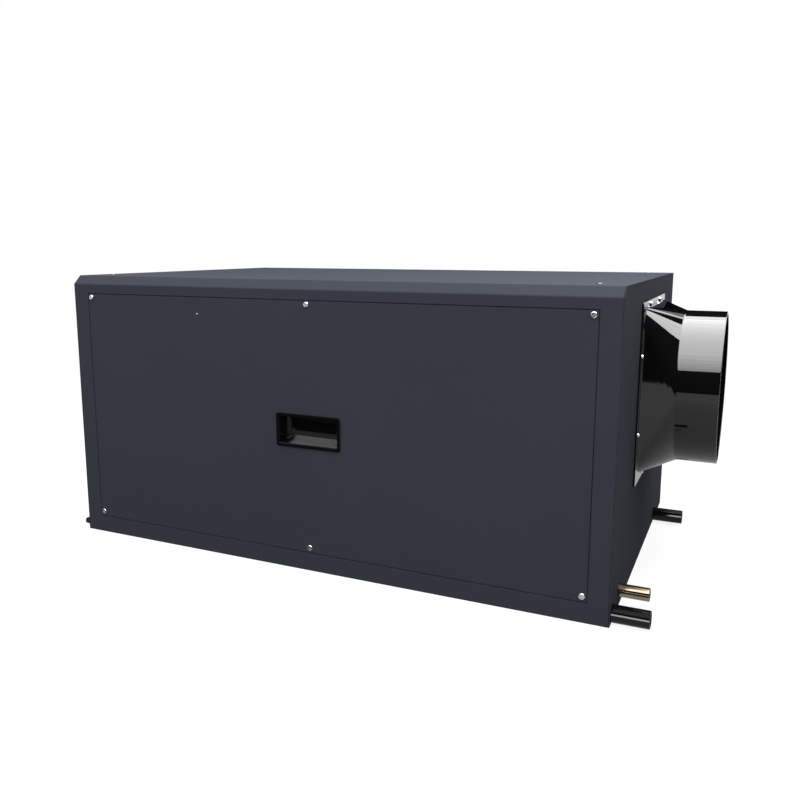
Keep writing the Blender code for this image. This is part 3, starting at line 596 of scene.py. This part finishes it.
def joined_copies(model, matrices, name):
    """Like parts joined into one piece."""
    copies = [drop_copy(model, matrix, name) for matrix in matrices]
    deselect()
    for piece in copies:
        piece.select_set(True)
    bpy.context.view_layer.objects.active = copies[0]
    if len(copies) > 1:
        bpy.ops.object.join()
    return copies[0]


def facing(axis, place):
    """Matrix that turns +Z to an axis and moves to a place."""
    turn = Vector((0, 0, 1)).rotation_difference(Vector(axis)).to_matrix().to_4x4()
    return Matrix.Translation(place) @ turn


# Proportions of the modelled parts
LOFT_CUTS = 4
TUBE_EDGE = 0.3
HEAD_ROUND = 0.75
CROSS_REACH, CROSS_WIDTH, CROSS_DEPTH = 1.1, 0.22, 1.1
SOCKET_RADIUS, SOCKET_DEPTH = 0.5, 1.2
RIVET_DOME = 0.45
DRAINS = ("front_drain_pipe", "rear_drain_pipe")

# Soft lamp over the front
SOFTBOX_HEIGHT, SOFTBOX_X, SOFTBOX_Y = 1.9, (-1.5, 1.5), (-3.2, 1.2)
# Overhead gloss light: strips along Y, brightest over the duct, fading to the front and back.
# The fade gives pairs of a place along Y and the share of the highlight there.
GLOSS_HEIGHT, GLOSS_MIDDLE, GLOSS_WIDTH = 1.88, 1.45, 3.1
GLOSS_START, GLOSS_END, GLOSS_STRIPS = -3.0, 2.4, 18
GLOSS_FADE = ((-3.0, 0.10), (-2.4, 0.36), (-1.7, 0.56), (-1.0, 0.88), (0.3, 1.0), (2.4, 0.30))
# Window behind the right end, which the upper strip of the flange reflects
WINDOW_PLACE, WINDOW_SIZE, WINDOW_SHARE = (1.97, 1.0, 1.43), (0.78, 0.46), 0.08
ADAPTER_MIDDLE = (0.42, -0.1, 0.33)
# Slim lamp in front of each drain stub: distance, height above the floor and its own height
DRAIN_LAMPS = (("front_drain_pipe", 0.12, 0.0245, 0.045), ("rear_drain_pipe", 0.30, 0.125, 0.15))
DRAIN_LAMP_LENGTH, DRAIN_LAMP_SHARE = 0.5, 1.2
# Black cards that only gloss reflects: name, middle, size and turn in degrees
CARDS = (
    ("flag_back", (-0.85, 1.72, 0.95), (2.6, 1.9), (90, 0, 0)),
    ("flag_back_right", (0.72, 1.71, 1.06), (0.56, 0.88), (90, 0, 0)),
    ("flag_side", (1.61, 1.455, 1.33), (0.42, 0.98), (63, 0, -37)),
    ("flag_front", (0.95, -1.72, 0.095), (1.0, 0.19), (90, 0, 0)),
    ("flag_floor", (-0.9, -1.22, 0.004), (2.3, 1.88), (0, 0, 0)),
)
# Black ring round the object, and where it is open, in degrees from +X
RING_RADIUS, RING_DEPTH, RING_MIDDLE = 1.8, 1.08, 0.73
RING_GAPS = ((15, 175), (-145, -105))
# Floor: its radius, where its shadows fade out into white, and what it adds for each ray
FLOOR_RADIUS = 9
FADE_START, FADE_END = 0.7, 1.3
CAMERA_LIFT, GLOSS_LIFT = 0.86, 0.38
CAMERA_PLACE = (0.51791, -1.12535, 0.42597)
CAMERA_TILT, CAMERA_HEADING = 80.3194, 24.852
CAMERA_SENSOR, CAMERA_LENS, CAMERA_SHIFT = 36, 36.04, (0.01645, -0.0206)


# Operators

class DRYER_OT_cabinet(bpy.types.Operator):
    """Dress the folded cover, the access panel, the ends, the back and the underside"""
    bl_idname = "dryer.cabinet"
    bl_label = "Cabinet"

    def execute(self, context):
        for node in ("outer_cover", "access_panel"):
            dress(node, front_paint(), "front_paint")
        # The ends, the back and the underside take the darker paint, a painted shade
        for node in ("left_end_panel", "right_end_panel", "back_panel", "base_pan"):
            dress(node, end_paint(), "end_paint")
        return {"FINISHED"}


class DRYER_OT_adapters(bpy.types.Operator):
    """Model the moulded square-to-round adapter at each end"""
    bl_idname = "dryer.adapters"
    bl_label = "Duct adapters"

    def execute(self, context):
        for node, side in (("supply_adapter", 1), ("return_adapter", -1)):
            self.adapter(node, side)
        return {"FINISHED"}

    def square(self, reach, height, width, corner, segments, rise=0.0):
        """Open rounded rectangle across X."""
        bpy.ops.mesh.primitive_plane_add(size=1, location=(reach, 0, self.centre_z + rise),
                                         rotation=(0, math.radians(90), 0))
        ring = bpy.context.object
        ring.scale = (height, width, 1)
        only(ring)
        bpy.ops.object.transform_apply(location=True, rotation=True, scale=True)
        edit(ring, "VERT")
        bpy.ops.mesh.select_all(action="SELECT")
        bpy.ops.mesh.bevel(offset=corner, segments=segments, affect="VERTICES")
        bpy.ops.mesh.select_all(action="SELECT")
        bpy.ops.mesh.delete(type="ONLY_FACE")
        bpy.ops.object.mode_set(mode="OBJECT")
        return ring

    def circle(self, reach, radius, count):
        """Open circle across X with an edge, not a vertex, at each quarter."""
        bpy.ops.mesh.primitive_circle_add(vertices=count, radius=radius,
                                          location=(reach, 0, self.centre_z),
                                          rotation=(0, math.radians(90), 0))
        ring = bpy.context.object
        only(ring)
        bpy.ops.object.transform_apply(location=True, rotation=True, scale=True)
        edit(ring, "VERT")
        bpy.ops.mesh.select_all(action="SELECT")
        bpy.ops.transform.rotate(value=math.pi / count, orient_axis="X",
                                 center_override=(reach, 0, self.centre_z))
        bpy.ops.object.mode_set(mode="OBJECT")
        return ring

    def bridged(self, first, second, cuts=0):
        """Two open rings joined by a ruled skin."""
        deselect()
        first.select_set(True)
        second.select_set(True)
        bpy.context.view_layer.objects.active = first
        bpy.ops.object.join()
        edit(first, "EDGE")
        pick(first, "EDGE", lambda edge: not edge.link_faces or self.on_ring(edge))
        bpy.ops.mesh.bridge_edge_loops(number_cuts=cuts, interpolation="LINEAR")
        bpy.ops.object.mode_set(mode="OBJECT")

    def on_ring(self, edge):
        return edge.is_boundary and all(self.inside_root(vertex.co) for vertex in edge.verts)

    def inside_root(self, point):
        middle_z = self.centre_z + sizes().root_rise
        return abs(point.y) < self.root_y and abs(point.z - middle_z) < self.root_z

    def adapter(self, node, side):
        """Flange, sloping part and collar as one skin, then its wall; the left one is mirrored."""
        size = sizes()
        low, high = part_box("supply_adapter")
        self.centre_z = (low[2] + high[2]) / 2
        height = high[2] - low[2]
        width = high[1] - low[1]
        face = low[0] + size.adapter_wall
        base = high[0] - size.collar_length
        strip = size.flange_strip
        self.root_y = width / 2 - strip / 2
        self.root_z = height / 2 - strip / 2
        segments = size.corner_steps
        flange = self.square(face, height, width, size.flange_corner, segments)
        root = self.square(face, height - 2 * strip, width - 2 * strip, size.root_corner, segments,
                           size.root_rise)
        collar = self.circle(base, size.collar_radius, 4 * (segments + 1))
        self.bridged(flange, root)
        self.bridged(flange, collar, LOFT_CUTS)
        piece = flange
        edit(piece, "EDGE")
        pick(piece, "EDGE", lambda edge: all(abs(v.co.x - base) < NEAR for v in edge.verts))
        bpy.ops.mesh.extrude_region_move(
            TRANSFORM_OT_translate={"value": (size.collar_length, 0, 0)})
        bpy.ops.mesh.select_all(action="SELECT")
        bpy.ops.mesh.normals_make_consistent(inside=False)
        for reach, radius in ((base, size.collar_crease), (face, size.root_crease)):
            pick(piece, "EDGE", lambda edge: self.crease(edge, reach))
            bpy.ops.mesh.bevel(offset=radius, segments=3, affect="EDGES")
        bpy.ops.object.mode_set(mode="OBJECT")
        self.face_outwards(piece)
        if side < 0:
            piece.data.transform(Matrix.Scale(-1, 4, (1, 0, 0)))
            piece.data.flip_normals()
        apply_modifier(piece, "SOLIDIFY", thickness=size.adapter_wall, offset=-1,
                       use_even_offset=True)
        bevel(piece, size.moulded_edge, segments=3, degrees=60)
        smooth(piece, degrees=40)
        complete(piece, node + "_moulding", adapter_black(), "adapter_black", node)

    def crease(self, edge, reach):
        """Inner edges that lie on one ring."""
        on_ring = all(abs(v.co.x - reach) < NEAR and self.inside_root(v.co)
                      for v in edge.verts)
        return on_ring and not edge.is_boundary

    def face_outwards(self, piece):
        """Turns the skin so that the collar's faces point away from its axis."""
        collar = max(piece.data.polygons, key=lambda polygon: polygon.center.x)
        outward = Vector((0, collar.center.y, collar.center.z - self.centre_z))
        if collar.normal.dot(outward) < 0:
            piece.data.flip_normals()


class DRYER_OT_handle(bpy.types.Operator):
    """Model the recessed pull handle of the access panel"""
    bl_idname = "dryer.handle"
    bl_label = "Pull handle"

    def execute(self, context):
        size = sizes()
        low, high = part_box("pull_handle")
        centre = ((low[0] + high[0]) / 2, low[1], (low[2] + high[2]) / 2)
        width = high[0] - low[0]
        height = high[2] - low[2]
        depth = high[1] - low[1] - size.handle_wall
        rim = size.handle_rim
        outer = self.opening(centre, width, height)
        bpy.ops.mesh.bevel(offset=size.handle_corner, segments=6, affect="VERTICES")
        bpy.ops.mesh.select_all(action="SELECT")
        bpy.ops.mesh.delete(type="ONLY_FACE")
        bpy.ops.object.mode_set(mode="OBJECT")
        inner = self.opening(centre, width - 2 * rim, height - 2 * rim)
        bpy.ops.mesh.delete(type="ONLY_FACE")
        bpy.ops.object.mode_set(mode="OBJECT")
        deselect()
        inner.select_set(True)
        outer.select_set(True)
        bpy.context.view_layer.objects.active = outer
        bpy.ops.object.join()
        edit(outer, "EDGE")
        bpy.ops.mesh.select_all(action="SELECT")
        bpy.ops.mesh.bridge_edge_loops()
        reach_x = width / 2 - rim + NEAR
        reach_z = height / 2 - rim + NEAR

        def inside(vertex):
            return (abs(vertex.co.x - centre[0]) < reach_x
                    and abs(vertex.co.z - centre[2]) < reach_z)

        pick(outer, "EDGE", lambda edge: edge.is_boundary and all(map(inside, edge.verts)))
        bpy.ops.mesh.extrude_region_move(TRANSFORM_OT_translate={"value": (0, depth, 0)})
        draft = size.handle_draft * 2
        bpy.ops.transform.resize(value=(1 - draft / width, 1, 1 - draft / height),
                                 center_override=centre)
        bpy.ops.mesh.edge_face_add()
        floor_y = low[1] + depth
        pick(outer, "EDGE", lambda edge: all(v.co.y > floor_y - NEAR for v in edge.verts))
        bpy.ops.mesh.bevel(offset=size.handle_fillet, segments=8, affect="EDGES")
        bpy.ops.mesh.select_all(action="SELECT")
        bpy.ops.mesh.normals_make_consistent(inside=False)
        bpy.ops.object.mode_set(mode="OBJECT")
        rims = [p for p in outer.data.polygons if p.center.y < low[1] + NEAR]
        if rims[0].normal.y > 0:
            outer.data.flip_normals()
        apply_modifier(outer, "SOLIDIFY", thickness=size.handle_wall, offset=-1)
        bevel(outer, size.moulded_edge, segments=3, degrees=50)
        smooth(outer, degrees=40)
        complete(outer, "pull_handle_moulding", handle_black(), "handle_black", "pull_handle")
        return {"FINISHED"}

    def opening(self, centre, width, height):
        """Upright plane, left in edit mode with its corners selected."""
        bpy.ops.mesh.primitive_plane_add(size=1, location=centre,
                                         rotation=(math.radians(90), 0, 0))
        plane = bpy.context.object
        plane.scale = (width, height, 1)
        only(plane)
        bpy.ops.object.transform_apply(location=True, rotation=True, scale=True)
        edit(plane, "VERT")
        bpy.ops.mesh.select_all(action="SELECT")
        return plane


class DRYER_OT_pipes(bpy.types.Operator):
    """Model the copper stub, the two drain stubs and the cable gland"""
    bl_idname = "dryer.pipes"
    bl_label = "Pipe stubs"

    def execute(self, context):
        self.tube("copper_pipe", sizes().copper_wall, copper(), "copper")
        for node in DRAINS:
            self.tube(node, sizes().drain_wall, pipe_black(), "pipe_black")
        self.gland()
        self.shade()
        return {"FINISHED"}

    def shade(self):
        """The overhead light passes the stubs by, and each drain has a slim lamp of its own."""
        stubs = self.receivers("shaded_stubs", ("copper_pipe",) + DRAINS, "EXCLUDE")
        for lamp in bpy.data.objects:
            if lamp.type == "LIGHT" and lamp.name.startswith("gloss_"):
                lamp.light_linking.receiver_collection = stubs
        shaded = self.receivers("shaded_drains", DRAINS, "EXCLUDE")
        bpy.data.objects["overhead_softbox"].light_linking.receiver_collection = shaded
        for node in DRAINS:
            lit = self.receivers(node + "_lit", (node,), "INCLUDE")
            bpy.data.objects[node + "_lamp"].light_linking.receiver_collection = lit

    def receivers(self, name, nodes, state):
        """Collection that tells a lamp which stubs it lights or leaves out."""
        group = bpy.data.collections.new(name)
        for node in nodes:
            group.objects.link(bpy.data.objects[node + "_tube"])
        for link in group.collection_objects:
            link.light_linking.link_state = state
        return group

    def tube(self, node, wall, material, slot):
        """Open tube with its wall, in the place of the node."""
        low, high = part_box(node)
        radius = (high[2] - low[2]) / 2
        centre = ((low[0] + high[0]) / 2, (low[1] + high[1]) / 2, (low[2] + high[2]) / 2)
        bpy.ops.mesh.primitive_cylinder_add(vertices=64, radius=radius, depth=high[0] - low[0],
                                            end_fill_type="NOTHING", location=centre,
                                            rotation=(0, math.radians(90), 0))
        piece = bpy.context.object
        only(piece)
        bpy.ops.object.transform_apply(location=True, rotation=True, scale=True)
        apply_modifier(piece, "SOLIDIFY", thickness=wall, offset=-1)
        bevel(piece, wall * TUBE_EDGE, segments=3, degrees=40)
        smooth(piece, degrees=30)
        complete(piece, node + "_tube", material, slot, node)

    def gland(self):
        """Cable gland with its rims rounded."""
        piece = node_copy("cable_gland")
        bevel(piece, sizes().gland_edge, degrees=40)
        smooth(piece, degrees=30)
        complete(piece, "cable_gland_moulding", pipe_black(), "pipe_black", "cable_gland")


class DRYER_OT_fasteners(bpy.types.Operator):
    """Model the panel screws, the flange screws, the back screws and the hanging bolts"""
    bl_idname = "dryer.fasteners"
    bl_label = "Screws and bolts"

    def execute(self, context):
        size = sizes()
        screw = self.pan_head("screw_model", size.screw_radius, size.screw_rise)
        self.panel_screws(screw)
        self.back_screws(screw)
        small = self.pan_head("small_screw_model", size.flange_screw_radius, size.screw_rise)
        self.flange_screws(small)
        bolt = self.socket_head(size.bolt_radius, size.bolt_rise)
        self.hanging_bolts(bolt)
        for model in (screw, small, bolt):
            bpy.data.objects.remove(model, do_unlink=True)
        return {"FINISHED"}

    def head(self, name, radius, rise):
        """Low domed head that stands on z = 0."""
        bpy.ops.mesh.primitive_cylinder_add(vertices=32, radius=radius, depth=rise,
                                            location=(0, 0, rise / 2))
        piece = bpy.context.object
        piece.name = name
        only(piece)
        bpy.ops.object.transform_apply(location=True, rotation=True, scale=True)
        edit(piece, "EDGE")
        pick(piece, "EDGE", lambda edge: all(v.co.z > rise - NEAR for v in edge.verts))
        bpy.ops.mesh.bevel(offset=rise * HEAD_ROUND, segments=5, affect="EDGES")
        bpy.ops.object.mode_set(mode="OBJECT")
        return piece

    def cut(self, piece, cutter):
        """Takes the cutter out of the piece and away."""
        apply_modifier(piece, "BOOLEAN", object=cutter, operation="DIFFERENCE", solver="EXACT")
        bpy.data.objects.remove(cutter, do_unlink=True)
        smooth(piece, degrees=40)

    def pan_head(self, name, radius, rise):
        """Pan head with a cross recess."""
        piece = self.head(name, radius, rise)
        reach = radius * CROSS_REACH
        width = radius * CROSS_WIDTH
        for long_x, long_y in ((reach, width), (width, reach)):
            bpy.ops.mesh.primitive_cube_add(size=1, location=(0, 0, rise))
            bar = bpy.context.object
            bar.scale = (long_x, long_y, rise * CROSS_DEPTH)
            self.cut(piece, bar)
        return piece

    def socket_head(self, radius, rise):
        """Button head with a hexagon socket."""
        piece = self.head("bolt_model", radius, rise)
        bpy.ops.mesh.primitive_cylinder_add(vertices=6, radius=radius * SOCKET_RADIUS,
                                            depth=rise * SOCKET_DEPTH, location=(0, 0, rise))
        self.cut(piece, bpy.context.object)
        return piece

    def panel_screws(self, model):
        """Six screws round the access panel, each stopped at its own angle."""
        size = sizes()
        inset = size.panel_screw_inset
        xs = (DOOR_LOW[0] + inset, 0, DOOR_HIGH[0] - inset)
        zs = (DOOR_LOW[2] + inset + size.lower_screw_lift,
              DOOR_HIGH[2] - inset + size.upper_screw_lift)
        for place_x, word in zip(xs, ("left", "middle", "right")):
            for place_z, level in zip(zs, ("lower", "upper")):
                seat = facing((0, -1, 0), (place_x, DOOR_LOW[1], place_z))
                turn = Matrix.Rotation(place_x * 3 + place_z * 2, 4, "Z")
                piece = drop_copy(model, seat @ turn, "panel_screw")
                complete(piece, f"panel_screw_{level}_{word}", steel(), "galvanised")

    def back_screws(self, model):
        """Six screws in the back panel, named as seen from behind."""
        low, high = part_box("back_panel")
        inset = sizes().back_screw_inset
        xs = (low[0] + inset, 0, high[0] - inset)
        zs = (low[2] + inset, high[2] - inset)
        for place_x, word in zip(xs, ("right", "middle", "left")):
            for place_z, level in zip(zs, ("lower", "upper")):
                seat = facing((0, 1, 0), (place_x, high[1], place_z))
                turn = Matrix.Rotation(place_x * 2 + place_z, 4, "Z")
                piece = drop_copy(model, seat @ turn, "back_screw")
                complete(piece, f"back_screw_{level}_{word}", steel(), "galvanised")

    def flange_screws(self, model):
        """Eight screws in each adapter's flange, two a side."""
        size = sizes()
        for node, side in (("supply_adapter", 1), ("return_adapter", -1)):
            low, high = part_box(node)
            centre_z = (low[2] + high[2]) / 2
            face = side * (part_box("supply_adapter")[0][0] + size.adapter_wall)
            inset = size.flange_strip / 2
            spots = []
            for offset in (-size.flange_screw_offset, size.flange_screw_offset):
                spots += [(offset, high[2] - inset), (offset, low[2] + inset),
                          (low[1] + inset, centre_z + offset), (high[1] - inset, centre_z + offset)]
            seats = [facing((side, 0, 0), (face, y, z)) for y, z in spots]
            piece = joined_copies(model, seats, "flange_screws")
            word = "supply" if side > 0 else "return"
            complete(piece, f"{word}_flange_screws", steel(), "galvanised")

    def hanging_bolts(self, model):
        """A bolt in the top over each hanger plate."""
        for word_x in ("left", "right"):
            for word_y in ("front", "back"):
                low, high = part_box(f"hanger_plate_{word_y}_{word_x}")
                seat = facing((0, 0, 1), ((low[0] + high[0]) / 2, (low[1] + high[1]) / 2,
                                          BODY_HEIGHT))
                piece = drop_copy(model, seat, "hanging_bolt")
                complete(piece, f"hanging_bolt_{word_y}_{word_x}", bolt_steel(), "galvanised")


class DRYER_OT_rivet(bpy.types.Operator):
    """Model the small grey rivet at the upper left of the access panel"""
    bl_idname = "dryer.rivet"
    bl_label = "Small rivet"

    def execute(self, context):
        size = sizes()
        bpy.ops.mesh.primitive_uv_sphere_add(segments=24, ring_count=12, radius=size.rivet_radius,
                                             location=(size.rivet_x, DOOR_LOW[1], size.rivet_z))
        piece = bpy.context.object
        piece.scale = (1, RIVET_DOME, 1)
        only(piece)
        bpy.ops.object.transform_apply(location=True, rotation=True, scale=True)
        smooth(piece)
        complete(piece, "panel_rivet", zinc(), "galvanised")
        return {"FINISHED"}


class DRYER_OT_filter(bpy.types.Operator):
    """Dress the pleated filter, its frame and its rails"""
    bl_idname = "dryer.filter"
    bl_label = "Return filter"

    def execute(self, context):
        dress("filter_media", cloth(), "filter_cloth", edge=sizes().pleat_edge, degrees=40)
        for node in ("filter_frame", "filter_rail_upper", "filter_rail_lower"):
            dress(node, zinc(), "galvanised")
        return {"FINISHED"}


class DRYER_OT_blower(bpy.types.Operator):
    """Dress the blower that shows through the supply collar"""
    bl_idname = "dryer.blower"
    bl_label = "Blower"

    def execute(self, context):
        for node in ("blower_scroll", "blower_side_inlet", "blower_side_motor",
                     "blower_outlet_flange"):
            dress(node, zinc(), "galvanised")
        for node in ("blower_wheel", "blower_inlet_ring"):
            dress(node, zinc(), "galvanised", edge=0)
        dress("blower_motor", motor_enamel(), "motor_grey", edge=sizes().motor_edge)
        return {"FINISHED"}


class DRYER_OT_inside(bpy.types.Operator):
    """Give the posts, the hanger plates and the lining their finishes"""
    bl_idname = "dryer.inside"
    bl_label = "Inside"

    def execute(self, context):
        for word_x in ("left", "right"):
            for word_y in ("front", "back"):
                for node in (f"post_{word_y}_{word_x}", f"hanger_plate_{word_y}_{word_x}"):
                    self.paint(node, zinc())
        self.paint("access_panel_lining", foam())
        return {"FINISHED"}

    def paint(self, node, material):
        item = frame["nodes"][node]
        item.data.materials.clear()
        item.data.materials.append(material)


class DRYER_OT_stage(bpy.types.Operator):
    """Make the floor, the lamps, the flags and the camera"""
    bl_idname = "dryer.stage"
    bl_label = "Stage"

    def execute(self, context):
        stage = context.scene.dryer_stage
        context.scene.view_settings.view_transform = "Standard"
        self.world(context.scene, stage)
        self.floor(stage)
        self.flags()
        self.lamp("overhead_softbox", SOFTBOX_HEIGHT, SOFTBOX_X, SOFTBOX_Y, stage.softbox)
        step = (GLOSS_END - GLOSS_START) / GLOSS_STRIPS
        for index in range(GLOSS_STRIPS):
            place_y = GLOSS_START + step * (index + 0.5)
            self.gloss("gloss_strip", (GLOSS_MIDDLE, place_y, GLOSS_HEIGHT), (GLOSS_WIDTH, step),
                       (GLOSS_MIDDLE, place_y, 0), stage.highlight * self.gloss_share(place_y))
        self.gloss("gloss_window", WINDOW_PLACE, WINDOW_SIZE, ADAPTER_MIDDLE,
                   stage.highlight * WINDOW_SHARE)
        for node, away, level, height in DRAIN_LAMPS:
            low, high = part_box(node)
            place = ((low[0] + high[0]) / 2, low[1] - away, level)
            self.gloss(node + "_lamp", place, (DRAIN_LAMP_LENGTH, height),
                       (place[0], low[1], level), stage.highlight * DRAIN_LAMP_SHARE)
        self.camera(context.scene)
        return {"FINISHED"}

    def seen(self, tree):
        """One for camera, glossy and transmission rays, which show the pale backdrop."""
        path = add_node(tree, "ShaderNodeLightPath")
        first = maths(tree, "MAXIMUM", path.outputs["Is Camera Ray"], path.outputs["Is Glossy Ray"])
        return maths(tree, "MAXIMUM", first, path.outputs["Is Transmission Ray"])

    def world(self, scene, stage):
        """White where it is seen, and dimmer as light on matt surfaces."""
        scene.world = bpy.data.worlds.new("white_studio")
        scene.world.use_nodes = True
        tree = scene.world.node_tree
        sky = tree.nodes["Background"]
        sky.inputs["Color"].default_value = (1, 1, 1, 1)
        tree.links.new(spread(tree, self.seen(tree), stage.ambient, 1.0), sky.inputs["Strength"])

    def floor(self, stage):
        """Pale floor that keeps the object's shadow near it and is plain white far off."""
        bpy.ops.mesh.primitive_circle_add(vertices=96, radius=FLOOR_RADIUS, fill_type="NGON",
                                          location=(0, 0, 0))
        floor = bpy.context.object
        floor.name = "floor"
        material = bpy.data.materials.new("pale_floor")
        material.use_nodes = True
        tree = material.node_tree
        tree.nodes.remove(tree.nodes["Principled BSDF"])
        output = tree.nodes["Material Output"]
        matt = add_node(tree, "ShaderNodeBsdfDiffuse", Color=(*stage.floor, 1))
        lift = add_node(tree, "ShaderNodeEmission", Color=(1, 1, 1, 1))
        path = add_node(tree, "ShaderNodeLightPath")
        for_camera = maths(tree, "MULTIPLY", path.outputs["Is Camera Ray"], CAMERA_LIFT)
        for_gloss = maths(tree, "MULTIPLY", path.outputs["Is Glossy Ray"], GLOSS_LIFT)
        tree.links.new(maths(tree, "ADD", for_camera, for_gloss), lift.inputs["Strength"])
        near = add_node(tree, "ShaderNodeAddShader")
        tree.links.new(matt.outputs[0], near.inputs[0])
        tree.links.new(lift.outputs[0], near.inputs[1])
        white = add_node(tree, "ShaderNodeEmission", Color=(1, 1, 1, 1), Strength=1.0)
        far = add_node(tree, "ShaderNodeMixShader")
        tree.links.new(self.seen(tree), far.inputs["Fac"])
        tree.links.new(matt.outputs[0], far.inputs[1])
        tree.links.new(white.outputs[0], far.inputs[2])
        place = add_node(tree, "ShaderNodeTexCoord").outputs["Object"]
        distance = add_node(tree, "ShaderNodeVectorMath", {"operation": "LENGTH"})
        tree.links.new(place, distance.inputs[0])
        blend = add_node(tree, "ShaderNodeMixShader")
        fade = spread(tree, distance.outputs["Value"], 0.0, 1.0, FADE_START, FADE_END)
        tree.links.new(fade, blend.inputs["Fac"])
        tree.links.new(near.outputs[0], blend.inputs[1])
        tree.links.new(far.outputs[0], blend.inputs[2])
        tree.links.new(blend.outputs[0], output.inputs["Surface"])
        floor.data.materials.append(material)

    def flags(self):
        """Black ring and cards that only gloss reflects."""
        self.ring()
        for name, place, size, turn in CARDS:
            self.card(name, place, size, [math.radians(angle) for angle in turn])

    def ring(self):
        """Wall round the front and the right, open at the back and at the front left."""
        bpy.ops.mesh.primitive_cylinder_add(vertices=72, radius=RING_RADIUS, depth=RING_DEPTH,
                                            end_fill_type="NOTHING",
                                            location=(0, 0, RING_MIDDLE))
        ring = bpy.context.object
        ring.name = "flag_ring"
        edit(ring)

        def in_gap(face):
            turn = math.degrees(math.atan2(middle(face).y, middle(face).x))
            return any(start < turn < end for start, end in RING_GAPS)

        pick(ring, "FACE", in_gap)
        bpy.ops.mesh.delete(type="FACE")
        bpy.ops.object.mode_set(mode="OBJECT")
        self.hang(ring)

    def card(self, name, place, size, turn):
        bpy.ops.mesh.primitive_plane_add(size=1, location=place, rotation=turn)
        card = bpy.context.object
        card.name = name
        card.scale = (*size, 1)
        self.hang(card)

    def hang(self, flag):
        """Paints a flag black and hides it from all but gloss."""
        black = bpy.data.materials.get("flag_black")
        if black is None:
            black = bpy.data.materials.new("flag_black")
            black.use_nodes = True
            shader = black.node_tree.nodes["Principled BSDF"]
            shader.inputs["Base Color"].default_value = (0, 0, 0, 1)
            shader.inputs["Roughness"].default_value = 1.0
            shader.inputs["Specular IOR Level"].default_value = 0.0
        flag.data.materials.append(black)
        flag.visible_camera = False
        flag.visible_shadow = False
        flag.visible_diffuse = False

    def lamp(self, name, height, span_x, span_y, radiance):
        """Area lamp that shines down over a stretch of X and Y."""
        place = ((span_x[0] + span_x[1]) / 2, (span_y[0] + span_y[1]) / 2, height)
        bpy.ops.object.light_add(type="AREA", location=place)
        lamp = bpy.context.object
        lamp.name = name
        lamp.data.shape = "RECTANGLE"
        lamp.data.size = span_x[1] - span_x[0]
        lamp.data.size_y = span_y[1] - span_y[0]
        lamp.data.energy = radiance * math.pi * lamp.data.size * lamp.data.size_y
        lamp.visible_camera = False
        return lamp

    def gloss_share(self, place_y):
        """Share of the overhead gloss light at a place along Y."""
        for (start, first), (end, last) in zip(GLOSS_FADE, GLOSS_FADE[1:]):
            if place_y <= end:
                return first + (last - first) * (place_y - start) / (end - start)
        return GLOSS_FADE[-1][1]

    def gloss(self, name, place, size, target, radiance):
        """Lamp that only gloss reflects, turned to a point."""
        lamp = self.lamp(name, place[2], (place[0] - size[0] / 2, place[0] + size[0] / 2),
                         (place[1] - size[1] / 2, place[1] + size[1] / 2), radiance)
        aim = Vector(target) - Vector(place)
        lamp.rotation_euler = aim.to_track_quat("-Z", "Y").to_euler()
        lamp.visible_diffuse = False
        return lamp

    def camera(self, scene):
        turn = (math.radians(CAMERA_TILT), 0, math.radians(CAMERA_HEADING))
        bpy.ops.object.camera_add(location=CAMERA_PLACE, rotation=turn)
        camera = bpy.context.object
        camera.name = "photo_camera"
        camera.data.sensor_width = CAMERA_SENSOR
        camera.data.lens = CAMERA_LENS
        camera.data.shift_x, camera.data.shift_y = CAMERA_SHIFT
        scene.camera = camera


OPERATORS = (
    DRYER_OT_stage,
    DRYER_OT_cabinet,
    DRYER_OT_adapters,
    DRYER_OT_handle,
    DRYER_OT_pipes,
    DRYER_OT_fasteners,
    DRYER_OT_rivet,
    DRYER_OT_filter,
    DRYER_OT_blower,
    DRYER_OT_inside,
)


class DRYER_PT_panel(bpy.types.Panel):
    """Sidebar list of the pieces and their values"""
    bl_idname = "DRYER_PT_panel"
    bl_label = "Air dryer"
    bl_space_type = "VIEW_3D"
    bl_region_type = "UI"
    bl_category = "Air dryer"

    def draw(self, context):
        for operator in OPERATORS:
            self.layout.operator(operator.bl_idname)
        for group in (context.scene.dryer_finishes, context.scene.dryer_sizes,
                      context.scene.dryer_stage):
            box = self.layout.box()
            for key in group.bl_rna.properties.keys():
                if key not in ("rna_type", "name"):
                    box.prop(group, key)


CLASSES = (DryerFinishes, DryerSizes, DryerStage) + OPERATORS + (DRYER_PT_panel,)


def register():
    for item in CLASSES:
        bpy.utils.register_class(item)
    bpy.types.Scene.dryer_finishes = PointerProperty(type=DryerFinishes)
    bpy.types.Scene.dryer_sizes = PointerProperty(type=DryerSizes)
    bpy.types.Scene.dryer_stage = PointerProperty(type=DryerStage)


def unregister():
    del bpy.types.Scene.dryer_stage
    del bpy.types.Scene.dryer_sizes
    del bpy.types.Scene.dryer_finishes
    for item in reversed(CLASSES):
        bpy.utils.unregister_class(item)


def main():
    register()
    bpy.ops.dryer.stage()
    bpy.ops.dryer.cabinet()
    bpy.ops.dryer.adapters()
    bpy.ops.dryer.handle()
    bpy.ops.dryer.pipes()
    bpy.ops.dryer.fasteners()
    bpy.ops.dryer.rivet()
    bpy.ops.dryer.filter()
    bpy.ops.dryer.blower()
    bpy.ops.dryer.inside()


if __name__ == "__main__":
    main()
